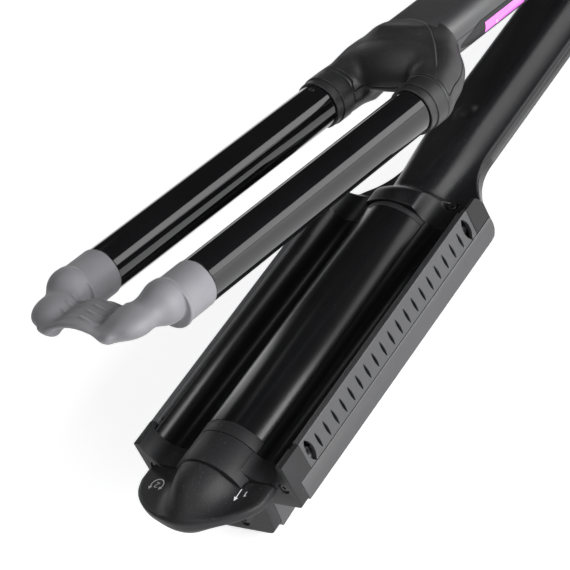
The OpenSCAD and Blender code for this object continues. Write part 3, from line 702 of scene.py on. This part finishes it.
def wall_field(p):
    x, y, z = p
    front = strip_y0 + 0.15 - y
    strip = np.maximum(plate(x, z, jaw_hw - 1.1, -strip_hh, 1.04, strip_hh, 0.3),
                       np.maximum(front, y - strip_y1))
    lip = np.maximum(plate(x, z, jaw_hw - 2.65, -lip_hh, 2.59, lip_hh, 0.3),
                     np.maximum(front, y - plates_y1))
    body = np.minimum(strip, lip)
    body = soft_max(body, -disc(x, z, trough_x, 0, trough_r + 0.1), 0.3)
    nearest = np.round((y - slit_first) / slit_pitch).clip(0, slit_count - 1)
    off = y - slit_first - nearest * slit_pitch
    slit = leaf(off + slit_lean * (z - slit_z), z - slit_z, slit_hl, slit_hw)
    body = soft_max(body, -slit, 0.25)
    for middle in recess_y:
        off = y - middle + recess_lean * (z - recess_z)
        body = soft_max(body, -leaf(off, z - recess_z, recess_hl, recess_hw), 0.3)
    return body


points, quads = skin(wall_field, (32.5, 12, -13.4), (38.6, 146, 0.4), wall_cell)
for side, name in ((1, "right"), (-1, "left")):
    turned = points * (side, 1, 1)
    place("vent_wall_" + name, turned.tolist(), quads[:, ::side].tolist(), jaw_board, "lower_arm",
          "vent_panel_" + name, "black_shell")
print("side walls", len(points), "points each")

# %% [markdown]
# ## Parts that keep their shape
# The rest of what shows is exact already. Each part is copied and its edges are softened by what
# the process would leave: more on mouldings, less on screws and pressed plates. The lower edges of
# tray and end cap, the tray's back edge and the two lowest edges of the end cap are asked to be
# rounder, and are picked by where they lie on the jaw's board.

# %% Rounded mouldings and plates
shortest = 0.5


def stand_edge(a, b):
    step = b - a
    in_band = all(13.2 < abs(v.x) < 16.2 and v.z < -24 for v in (a, b))
    along = abs(step.x) < 0.3 and abs(step.y) > 1.2 * abs(step.z)
    return in_band and along and abs(step.y) > shortest


def flank_edge(a, b):
    low = all(abs(abs(v.x) - jaw_hw) < 0.5 and abs(v.z + wall_h) < 0.4 for v in (a, b))
    return low and a.x * b.x > 0 and abs(a.y - b.y) > shortest


def back_edge(a, b):
    return all(abs(v.y - jaw_end) < 0.3 and abs(v.z + wall_h) < 0.3 for v in (a, b))


large_corners = {"lower_shell": ((back_edge, 5.0), (flank_edge, 2.4)),
                 "end_cap": ((stand_edge, 4.0), (flank_edge, 2.4))}
soft_edges = {
    "lower_shell": (0.7, "black_shell"), "end_cap": (0.5, "dark_cap"),
    "trough_plate_left": (0.35, "coated_plate"), "trough_plate_right": (0.35, "coated_plate"),
    "wave_drum": (0.3, "coated_plate"), "drum_band_front": (0.3, "dark_cap"),
    "drum_band_rear": (0.3, "dark_cap"), "lower_handle_bottom": (0.6, "black_shell"),
    "upper_handle_top": (0.6, "black_shell"),
    "upper_handle_bottom": (0.5, "black_shell"), "control_panel": (0.25, "dark_cap"),
    "panel_window": (0.25, "pink_window"), "power_button": (0.3, "dark_cap"),
    "plus_button": (0.3, "dark_cap"), "minus_button": (0.3, "dark_cap"),
    "hinge_caps": (0.4, "dark_cap"), "cord_swivel": (0.35, "cord_rubber"),
    "cap_screws": (0.12, "screw_steel"),
    "tip_screws": (0.08, "screw_steel"),
}
moulded_copies = {node: rounded(node, width, slot, large_corners.get(node, ()))
                  for node, (width, slot) in soft_edges.items()}
print("rounded copies", len(moulded_copies))

# %% [markdown]
# ## Barrels
# The barrels are drawn tubes with a hard gloss coat. Their long reflections show every facet, so
# they are lathed again with far more sides than the CAD mesh has.

# %% Barrels
def lathe(name, outline, centre_x, board, body, node, slot, sides):
    points, faces = [], []
    for y, r in outline:
        for k in range(sides):
            turn = 2 * math.pi * k / sides
            points.append((centre_x + r * math.cos(turn), y, r * math.sin(turn)))
    for i in range(len(outline) - 1):
        for k in range(sides):
            a, b = i * sides + k, i * sides + (k + 1) % sides
            faces.append((a, b, b + sides, a + sides))
    piece = place(name, points, faces, board, body, node, slot)
    return smooth_by_angle(piece, 40)


tube_wall, tube_round, tube_rings = 1.2, 0.2, 24
straight_l = barrel_y1 - barrel_y0 - 1.0
tube = [(barrel_y0 + 0.3, barrel_r - tube_wall), (barrel_y0 + 0.3, barrel_r - tube_round),
        (barrel_y0 + 0.5, barrel_r)]
tube += [(barrel_y0 + 0.5 + straight_l * k / tube_rings, barrel_r) for k in range(1, tube_rings + 1)]
tube += [(barrel_y1 - 0.3, barrel_r - tube_round), (barrel_y1 - 0.3, barrel_r - tube_wall)]
for side, name in ((-1, "left"), (1, "right")):
    lathe("barrel_%s_tube" % name, tube, side * trough_x, fork_board, "upper_arm",
          "barrel_" + name, "coated_plate", 160)
print("barrels", round(barrel_y1 - barrel_y0, 1), "mm long")

# %% [markdown]
# Where a barrel enters the yoke it wears a collar with two steps, turned in one piece.

# %% Collars
step_y, step_r, collar_r = 149.9, 10.4, 10.9
turned_collar = [(barrel_y1, barrel_r + 0.02), (barrel_y1, step_r - 0.25),
                 (barrel_y1 + 0.25, step_r), (step_y - 0.1, step_r), (step_y - 0.1, step_r - 0.3),
                 (step_y + 0.1, step_r - 0.3), (step_y + 0.1, collar_r - 0.25),
                 (step_y + 0.35, collar_r), (collar_y1 - 0.2, collar_r),
                 (collar_y1, collar_r - 0.2), (collar_y1, barrel_r)]
for side, name in ((-1, "left"), (1, "right")):
    lathe("collar_%s_ring" % name, turned_collar, side * trough_x, fork_board, "upper_arm",
          "collar_" + name, "black_shell", 128)
print("collars", round(collar_y1 - barrel_y1, 1), "mm long")

# %% [markdown]
# ## Screws
# The screws are small pan heads with a cross slot. Those of the side walls and the neck lie deep
# in their recesses, those of the barrels sit just in front of the collars.

# %% Screw heads
def screw_head(name, where, direction, r, board, body, cad=None):
    base = Vector((0, 0, 1)).rotation_difference(Vector(direction)).to_matrix().to_4x4()
    local = Matrix.Translation(where) @ base

    def head_field(p):
        x, y, z = p
        dome = np.maximum(ball(p, (0, 0, -2.6 * r), 3.1 * r), disc(x, y, 0, 0, r))
        dome = soft_max(dome, -0.9 * r - z, 0.1)
        cross = np.minimum(np.maximum(np.abs(x) - 0.62 * r, np.abs(y) - 0.14 * r),
                           np.maximum(np.abs(y) - 0.62 * r, np.abs(x) - 0.14 * r))
        return soft_max(dome, -np.maximum(cross, 0.12 * r - z), 0.06 * r)

    out_r = 1.15 * r
    points, quads = skin(head_field, (-out_r, -out_r, -r), (out_r, out_r, 0.7 * r), 0.09 * r)
    return place(name, points.tolist(), quads.tolist(), board @ local, body, cad, "screw_steel")


wall_screw_r, neck_screw_r, barrel_screw_r = 1.7, 2.1, 1.25
barrel_screw_y, barrel_screw_lean = 142.6, 13
sunk_r = barrel_r - 0.25
heads = []
for side, name in ((1, "right"), (-1, "left")):
    for middle in recess_y:
        heads.append(screw_head("wall_screw_%s_%d" % (name, middle),
                                (side * (jaw_hw - 2.7), middle, slit_z), (side, 0, 0), wall_screw_r,
                                jaw_board, "lower_arm", "panel_screws"))
    heads.append(screw_head("neck_screw_" + name, (side * neck_screw_x, neck_screw_y, -11.6),
                            (0, 0, 1), neck_screw_r, jaw_board, "lower_arm"))
    lean = math.radians(-side * barrel_screw_lean)
    out = (math.sin(lean), 0, math.cos(lean))
    heads.append(screw_head("barrel_screw_" + name,
                            (side * trough_x + sunk_r * out[0], barrel_screw_y, sunk_r * out[2]),
                            out, barrel_screw_r, fork_board, "upper_arm", "barrel_screws"))
print("screws", len(heads))

# %% [markdown]
# ## Marks on the wings
# Each wing carries a small white print: a bent arrow with two heads round the number 2 on the
# left, a straight arrow with the number 1 on the right. They say in which order the knob is pulled
# and turned. The strokes are thin strips laid on the knob's surface by dropping every point
# straight down on it.

# %% Strokes laid on the knob
print_lift = 0.06
stroke_step = 0.35
knob_tree = BVHTree.FromPolygons([jaw_board.inverted() @ v.co for v in turn_knob.data.vertices],
                                 [tuple(f.vertices) for f in turn_knob.data.polygons])


def on_wing(x, y):
    spot, normal = knob_tree.ray_cast(Vector((x, y, 30)), Vector((0, 0, -1)))[:2]
    return spot + print_lift * normal


def stroke(line, width):
    line = [Vector(p) for p in line]
    dense = [line[0]]
    for a, b in zip(line, line[1:]):
        steps = max(1, round((b - a).length / stroke_step))
        dense += [a.lerp(b, k / steps) for k in range(1, steps + 1)]
    points, faces = [], []
    for k, here in enumerate(dense):
        along = (dense[min(k + 1, len(dense) - 1)] - dense[max(k - 1, 0)]).normalized()
        across = Vector((-along.y, along.x)) * width / 2
        points += [on_wing(*(here - across)), on_wing(*(here + across))]
    for k in range(len(dense) - 1):
        faces.append((2 * k, 2 * k + 2, 2 * k + 3, 2 * k + 1))
    return points, faces


def head(tip, back, half):
    tip, back = Vector(tip), Vector(back)
    side = (tip - back).orthogonal().normalized() * half
    return [on_wing(*tip), on_wing(*(back - side)), on_wing(*(back + side))], [(0, 1, 2)]


def printed(name, shapes):
    points, faces = [], []
    for some, corners in shapes:
        faces += [tuple(c + len(points) for c in corner) for corner in corners]
        points += some
    return place(name, points, faces, jaw_board, "knob", smooth=False)


def digit(rows, centre, size):
    # drawn turned half round, as it is read from the hand's side
    return [(centre[0] - size * (u - 0.5), centre[1] - size * (v - 0.5) * 1.5) for u, v in rows]


# %% [markdown]
# With strokes, arrow heads and digits at hand, each mark is a short list of shapes.

# %% The two marks
turn_x, turn_y, turn_r = -24.3, -9.9, 2.9
pull_x, pull_start, pull_tip = 16.9, -5.4, -11.6
digit_h, digit_w = 1.7, 0.36
bend = [(turn_x + turn_r * math.cos(math.radians(a)), turn_y + turn_r * math.sin(math.radians(a)))
        for a in range(-20, 216, 12)]
two = [(0, 0.85), (0.2, 1), (0.7, 1), (0.95, 0.8), (0.9, 0.6), (0, 0), (1, 0)]
one = [(0.2, 0.75), (0.6, 1), (0.6, 0)]
marks = [
    printed("turn_mark", [stroke(bend, 0.5),
                          head((bend[0][0] - 0.35, bend[0][1] - 1.7), bend[0], 0.95),
                          head((bend[-1][0] + 0.35, bend[-1][1] - 1.7), bend[-1], 0.95),
                          stroke(digit(two, (turn_x, turn_y - 0.2), digit_h), digit_w)]),
    printed("pull_mark", [stroke([(pull_x, pull_start), (pull_x, pull_tip + 1.6)], 0.32),
                          head((pull_x, pull_tip), (pull_x, pull_tip + 1.9), 0.75),
                          stroke(digit(one, (19.5, -6.9), digit_h), digit_w)]),
]
print("marks", [len(m.data.polygons) for m in marks])

# %% [markdown]
# ## Light in the window
# A lamp shines through the pink strip as a small white point. Here it is a thin pale star laid on
# the handle's side where the strip is, in the finish of the lamps.

# %% Light mark
mark_y, mark_z, mark_r = 221.1, 4.4, 1.1
star = []
for k in range(8):
    r = mark_r if k % 2 == 0 else 0.32 * mark_r
    star.append((grip_hw + print_lift, mark_y + r * math.cos(math.pi * k / 4),
                 mark_z + r * math.sin(math.pi * k / 4)))
place("light_mark", star, [tuple(range(8))], fork_board, "upper_arm", slot="lamp", smooth=False)
print("light mark at", mark_y, mark_z)

# %% [markdown]
# ## Surface effects
# Three effects are shared by the finishes, so each is a node group: the fine spark-eroded grain
# of a mould, the smears of handling, and a little dust on what faces up. Each gives plain values
# that a finish mixes into its own colour, roughness or height.

# %% Helpers for nodes
def group(name, inputs, outputs):
    tree = bpy.data.node_groups.new(name, "ShaderNodeTree")
    for title, kind, value in inputs:
        socket = tree.interface.new_socket(title, in_out="INPUT", socket_type=kind)
        if value is not None:
            socket.default_value = value
    for title in outputs:
        tree.interface.new_socket(title, in_out="OUTPUT", socket_type="NodeSocketFloat")
    return tree, tree.nodes.new("NodeGroupInput"), tree.nodes.new("NodeGroupOutput")


def node(tree, kind, settings=None, **links):
    made = tree.nodes.new("ShaderNode" + kind)
    for key, value in (settings or {}).items():
        setattr(made, key, value)
    for key, value in links.items():
        socket = made.inputs[int(key[1:])] if key[1:].isdigit() else made.inputs[key.replace("_", " ")]
        if isinstance(value, bpy.types.NodeSocket):
            tree.links.new(value, socket)
        else:
            socket.default_value = value
    return made


def spread(tree, value, low, high, to_low, to_high):
    return node(tree, "MapRange", None, Value=value, From_Min=low, From_Max=high,
                To_Min=to_low, To_Max=to_high).outputs[0]


# %% [markdown]
# A mould is eroded with sparks, so a moulding has a fine pebbled grain. Noise gives its softness,
# a cell pattern its pits, and a broad noise gives a slow change of tone.

# %% Mould grain
tree, given, out = group("mould_grain", [("Where", "NodeSocketVector", None),
                                         ("Size", "NodeSocketFloat", 1.0)], ["Height", "Tone"])
fine = node(tree, "TexNoise", None, Vector=given.outputs["Where"], Scale=given.outputs["Size"],
            Detail=3.0, Roughness=0.6)
cells = node(tree, "TexVoronoi", None, Vector=given.outputs["Where"], Scale=given.outputs["Size"])
high = node(tree, "Math", {"operation": "ADD"}, i0=fine.outputs[0], i1=cells.outputs["Distance"])
tree.links.new(spread(tree, high.outputs[0], 0.3, 1.5, 0.0, 1.0), out.inputs["Height"])
broad = node(tree, "TexNoise", None, Vector=given.outputs["Where"], Scale=35.0, Detail=4.0)
tree.links.new(spread(tree, broad.outputs[0], 0.35, 0.65, 0.0, 1.0), out.inputs["Tone"])
mould_grain = tree

# %% [markdown]
# Fingers leave smears and fine scratches along the tool. The scratches are a noise that is
# stretched by a mapping until its spots are hairlines.

# %% Handling
tree, given, out = group("handling", [("Where", "NodeSocketVector", None),
                                      ("Amount", "NodeSocketFloat", 1.0)], ["Smear", "Scratch"])
cloud = node(tree, "TexNoise", None, Vector=given.outputs["Where"], Scale=60.0, Detail=5.0,
             Roughness=0.65, Distortion=0.8)
smear = spread(tree, cloud.outputs[0], 0.48, 0.75, 0.0, 1.0)
scaled = node(tree, "Math", {"operation": "MULTIPLY"}, i0=smear, i1=given.outputs["Amount"])
tree.links.new(scaled.outputs[0], out.inputs["Smear"])
drawn = node(tree, "Mapping", None, Vector=given.outputs["Where"], Scale=(900.0, 14.0, 900.0),
             Rotation=(0.0, 0.0, 0.25))
hair = node(tree, "TexNoise", None, Vector=drawn.outputs[0], Scale=1.0, Detail=2.0)
thin = spread(tree, hair.outputs[0], 0.66, 0.74, 0.0, 1.0)
scratch = node(tree, "Math", {"operation": "MULTIPLY"}, i0=thin, i1=given.outputs["Amount"])
tree.links.new(scratch.outputs[0], out.inputs["Scratch"])
handling = tree

# %% [markdown]
# Dust lies on what faces up. The surface's normal gives a mask, and a fine noise breaks it up into
# specks.

# %% Settled dust
tree, given, out = group("settled_dust", [("Where", "NodeSocketVector", None),
                                          ("Amount", "NodeSocketFloat", 1.0)], ["Dust"])
facing = node(tree, "NewGeometry")
upward = node(tree, "SeparateXYZ", None, Vector=facing.outputs["Normal"])
level = spread(tree, upward.outputs["Z"], 0.2, 0.95, 0.0, 1.0)
specks = node(tree, "TexNoise", None, Vector=given.outputs["Where"], Scale=1900.0, Detail=2.0)
grains = spread(tree, specks.outputs[0], 0.66, 0.76, 0.0, 1.0)
lying = node(tree, "Math", {"operation": "MULTIPLY"}, i0=level, i1=grains)
dust = node(tree, "Math", {"operation": "MULTIPLY"}, i0=lying.outputs[0], i1=given.outputs["Amount"])
tree.links.new(dust.outputs[0], out.inputs["Dust"])
settled_dust = tree
print("effects", [g.name for g in bpy.data.node_groups])

# %% [markdown]
# ## Finishes
# One recipe serves them all: two close colours, a range of roughness, how deep and how fine the
# grain is, how much the piece is handled and how much dust it holds. The numbers differ: a gloss
# coat is nearly mirror-like, the shell is satin, the grip has the soft bloom of rubber paint.

# %% The recipe
def finish(name, dark, light, rough, grain=(2200.0, 0.02), handled=0.5, dusty=0.5, **shader):
    material = bpy.data.materials.new(name)
    material.use_nodes = True
    tree = material.node_tree
    surface = tree.nodes["Principled BSDF"]
    where = node(tree, "TexCoord").outputs["Object"]
    effects = {}
    for source, amount in ((mould_grain, {"Size": grain[0]}), (handling, {"Amount": handled}),
                           (settled_dust, {"Amount": dusty})):
        effect = tree.nodes.new("ShaderNodeGroup")
        effect.node_tree = source
        tree.links.new(where, effect.inputs["Where"])
        for key, value in amount.items():
            effect.inputs[key].default_value = value
        effects[source.name] = effect
    tone = effects["mould_grain"].outputs["Tone"]
    colour = node(tree, "Mix", {"data_type": "RGBA"}, i0=tone)
    colour.inputs[6].default_value = (*dark, 1)
    colour.inputs[7].default_value = (*light, 1)
    dusted = node(tree, "Mix", {"data_type": "RGBA"}, i0=effects["settled_dust"].outputs["Dust"])
    tree.links.new(colour.outputs[2], dusted.inputs[6])
    dusted.inputs[7].default_value = (0.32, 0.31, 0.3, 1)
    tree.links.new(dusted.outputs[2], surface.inputs["Base Color"])
    worn = node(tree, "Math", {"operation": "ADD"}, i0=effects["handling"].outputs["Smear"],
                i1=effects["handling"].outputs["Scratch"])
    tree.links.new(spread(tree, worn.outputs[0], 0.0, 1.5, rough[0], rough[1]),
                   surface.inputs["Roughness"])
    bump = node(tree, "Bump", None, Height=effects["mould_grain"].outputs["Height"],
                Strength=grain[1] * 10, Distance=0.0002)
    tree.links.new(bump.outputs[0], surface.inputs["Normal"])
    for key, value in shader.items():
        surface.inputs[key.replace("_", " ")].default_value = value
    return material


# %% [markdown]
# The finishes are named by the slots of the parts, in the order shell, cap, coat and grip, then
# metals, and last what lies inside or glows.

# %% Finishes by slot
finishes = {
    "black_shell": finish("satin_black_shell", (0.026, 0.026, 0.028), (0.034, 0.034, 0.037),
                          (0.4, 0.54), (2600.0, 0.03), 0.6, 0.5,
                          Specular_IOR_Level=1.0),
    "dark_cap": finish("matte_dark_cap", (0.012, 0.012, 0.013), (0.017, 0.017, 0.019),
                       (0.5, 0.62), (2300.0, 0.04), 0.5, 0.4, Specular_IOR_Level=0.35),
    "coated_plate": finish("gloss_coated_plate", (0.0035, 0.0035, 0.004), (0.005, 0.005, 0.0056),
                           (0.07, 0.13), (1500.0, 0.002), 0.35, 0.05, Coat_Weight=0.4,
                           Coat_Roughness=0.05, Specular_IOR_Level=0.5),
    "cool_grip": finish("soft_touch_grip", (0.16, 0.158, 0.172), (0.195, 0.193, 0.208),
                        (0.55, 0.7), (3000.0, 0.03), 0.5, 0.4, Sheen_Weight=0.25,
                        Sheen_Roughness=0.4),
    "steel": finish("drawn_steel", (0.5, 0.5, 0.51), (0.6, 0.6, 0.61), (0.28, 0.42),
                    (1800.0, 0.01), 0.8, 0.2, Metallic=1.0),
    "screw_steel": finish("blackened_screw", (0.035, 0.035, 0.037), (0.06, 0.06, 0.062),
                          (0.3, 0.45), (2600.0, 0.02), 0.8, 0.3, Metallic=0.85),
    "ceramic": finish("heater_ceramic", (0.68, 0.66, 0.6), (0.76, 0.74, 0.69), (0.5, 0.65),
                      (1600.0, 0.03), 0.3, 0.4),
    "heat_proof_plastic": finish("heat_proof_plastic", (0.2, 0.12, 0.06), (0.26, 0.16, 0.085),
                                 (0.5, 0.62), (1500.0, 0.03), 0.3, 0.4),
    "board": finish("board_laminate", (0.02, 0.085, 0.04), (0.03, 0.11, 0.055), (0.3, 0.42),
                    (1200.0, 0.01), 0.2, 0.3),
    "lamp": finish("lamp_lens", (0.75, 0.75, 0.74), (0.85, 0.85, 0.84), (0.2, 0.3),
                   (900.0, 0.005), 0.1, 0.1, Transmission_Weight=0.4),
    "pink_window": finish("pink_window", (0.78, 0.16, 0.72), (0.86, 0.22, 0.8), (0.18, 0.28),
                          (900.0, 0.004), 0.2, 0.1, Emission_Color=(0.9, 0.22, 0.85, 1),
                          Emission_Strength=0.25),
    "cord_rubber": finish("cord_rubber", (0.016, 0.016, 0.017), (0.023, 0.023, 0.025),
                          (0.55, 0.7), (1500.0, 0.04), 0.4, 0.5),
}
print("finishes", len(finishes))

# %% [markdown]
# Some pieces share a slot and still look different on the real tool: the jaw's plates are less
# glossy than the barrels, the lower handle is darker than the side walls, and so are the covers of
# the yoke. They have finishes of their own.

# %% Finishes of single pieces
gloss_plate = finish("hard_coated_plate", (0.004, 0.004, 0.0045), (0.006, 0.006, 0.0066),
                     (0.24, 0.32), (1500.0, 0.003), 0.4, 0.05, Specular_IOR_Level=0.3)
polished_shell = finish("polished_black_shell", (0.007, 0.007, 0.008), (0.01, 0.01, 0.0112),
                        (0.3, 0.42), (2600.0, 0.015), 0.6, 0.25, Specular_IOR_Level=0.4)
satin_cover = finish("satin_black_cover", (0.014, 0.014, 0.0145), (0.019, 0.019, 0.02),
                     (0.4, 0.5), (2600.0, 0.03), 0.6, 0.4, Specular_IOR_Level=0.5)
own_finish = {"yoke_top_cover": satin_cover, "yoke_bottom_cover": satin_cover,
              "collar_left_ring": satin_cover, "collar_right_ring": satin_cover,
              "trough_plate_left_moulded": gloss_plate, "trough_plate_right_moulded": gloss_plate,
              "wave_drum_moulded": gloss_plate, "lower_handle_top_moulding": polished_shell,
              "lower_handle_bottom_moulded": polished_shell}
print("pieces with their own finish", len(own_finish))

print_white = finish("print_white", (0.66, 0.66, 0.66), (0.78, 0.78, 0.78), (0.5, 0.6),
                     (1500.0, 0.01), 0.6, 0.2)
for mark in marks:
    mark.data.materials.append(print_white)

# %% [markdown]
# Every new piece names its slot, and every part that keeps its CAD mesh has a material with the
# slot's name. Both get the finish of that slot.

# %% Put the finishes on
def paint(piece, slot):
    chosen = own_finish.get(piece.name, finishes[slot])
    if len(piece.data.materials):
        for index in range(len(piece.data.materials)):
            piece.data.materials[index] = chosen
    else:
        piece.data.materials.append(chosen)


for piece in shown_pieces():
    if piece in marks:
        continue
    slot = piece.get("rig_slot")
    if slot is None:
        slot = piece.data.materials[0].name.split(".")[0]
    paint(piece, slot)

# %% [markdown]
# ## Floor
# The tool lies on a plain white table, which keeps its soft shadow. The table glows a little for
# the camera and for reflections, so it is white in the picture and in the gloss of the barrels,
# and adds no light to the matte sides.

# %% Floor
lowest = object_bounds()[0][2]
reach = 6
floor_glow = 0.65
data = bpy.data.meshes.new("studio_floor")
data.from_pydata([(-reach, -reach, lowest), (reach, -reach, lowest), (reach, reach, lowest),
                  (-reach, reach, lowest)], [], [(0, 1, 2, 3)])
floor = bpy.data.objects.new("studio_floor", data)
bpy.context.scene.collection.objects.link(floor)
white = bpy.data.materials.new("floor_white")
white.use_nodes = True
tree = white.node_tree
surface = tree.nodes["Principled BSDF"]
surface.inputs["Roughness"].default_value = 0.9
surface.inputs["Specular IOR Level"].default_value = 0.0
surface.inputs["Emission Color"].default_value = (1, 1, 1, 1)
seen = node(tree, "LightPath")
seen_or_mirrored = node(tree, "Math", {"operation": "MAXIMUM"}, i0=seen.outputs["Is Camera Ray"],
                        i1=seen.outputs["Is Glossy Ray"])
tree.links.new(spread(tree, seen_or_mirrored.outputs[0], 0.0, 1.0, 0.0, floor_glow),
               surface.inputs["Emission Strength"])
where = node(tree, "TexCoord").outputs["Object"]
paper = node(tree, "TexNoise", None, Vector=where, Scale=3.0, Detail=2.0)
cloudy = spread(tree, paper.outputs[0], 0.3, 0.7, 0.0, 1.0)
shade = node(tree, "Mix", {"data_type": "RGBA"}, i0=cloudy)
shade.inputs[6].default_value = (0.86, 0.86, 0.865, 1)
shade.inputs[7].default_value = (0.88, 0.88, 0.88, 1)
tree.links.new(shade.outputs[2], surface.inputs["Base Color"])
data.materials.append(white)
print("floor at", round(lowest, 5))

# %% [markdown]
# ## Background
# What the camera sees behind the table is plain white. For every other ray the world is nearly
# dark, because the soft boxes do the lighting.

# %% World
world = bpy.data.worlds.new("studio")
bpy.context.scene.world = world
world.use_nodes = True
tree = world.node_tree
tree.nodes.clear()
seen = node(tree, "LightPath")
plain = node(tree, "Background", None, Color=(1, 1, 1, 1), Strength=1.0)
dim = node(tree, "Background", None, Color=(1, 1, 1, 1), Strength=0.03)
either = node(tree, "MixShader", None, i0=seen.outputs["Is Camera Ray"], i1=dim.outputs[0],
              i2=plain.outputs[0])
out = tree.nodes.new("ShaderNodeOutputWorld")
tree.links.new(either.outputs[0], out.inputs["Surface"])
print("world", world.name)

# %% [markdown]
# ## Lights
# A wide soft box at the back right gives the grey bands in the barrels, and a thin strip above
# gives the narrow ones. A rim light from the left draws the left edges, a square box overhead
# lights the tip, and a low one from the right lifts the side walls to grey. Each stands at a
# distance from the tool's middle in a given direction and faces it.

# %% Lights
middle = Vector((0, 0.12, 0.06))


def softbox(name, direction, distance, width, height, power):
    data = bpy.data.lights.new(name, "AREA")
    data.shape = "RECTANGLE"
    data.size, data.size_y = width, height
    data.energy = power
    light = bpy.data.objects.new(name, data)
    towards = Vector(direction).normalized()
    light.matrix_world = (Matrix.Translation(middle + distance * towards)
                          @ towards.to_track_quat("Z", "Y").to_matrix().to_4x4())
    bpy.context.scene.collection.objects.link(light)
    print(name, power, "W")


softbox("back_right_box", (0.78, 0.5, 0.17), 1.6, 2.4, 0.56, 12)
softbox("top_strip", (-0.3, 0.49, 0.82), 1.6, 0.12, 1.4, 1)
softbox("left_rim", (-0.9, 0.35, 0.3), 1.6, 0.3, 1.2, 3)
softbox("overhead", (-0.1, -0.5, 0.86), 1.8, 1.2, 1.2, 9)
softbox("right_fill", (0.97, -0.15, 0.2), 1.5, 1.6, 0.8, 40)
bpy.context.scene.view_settings.view_transform = "Standard"
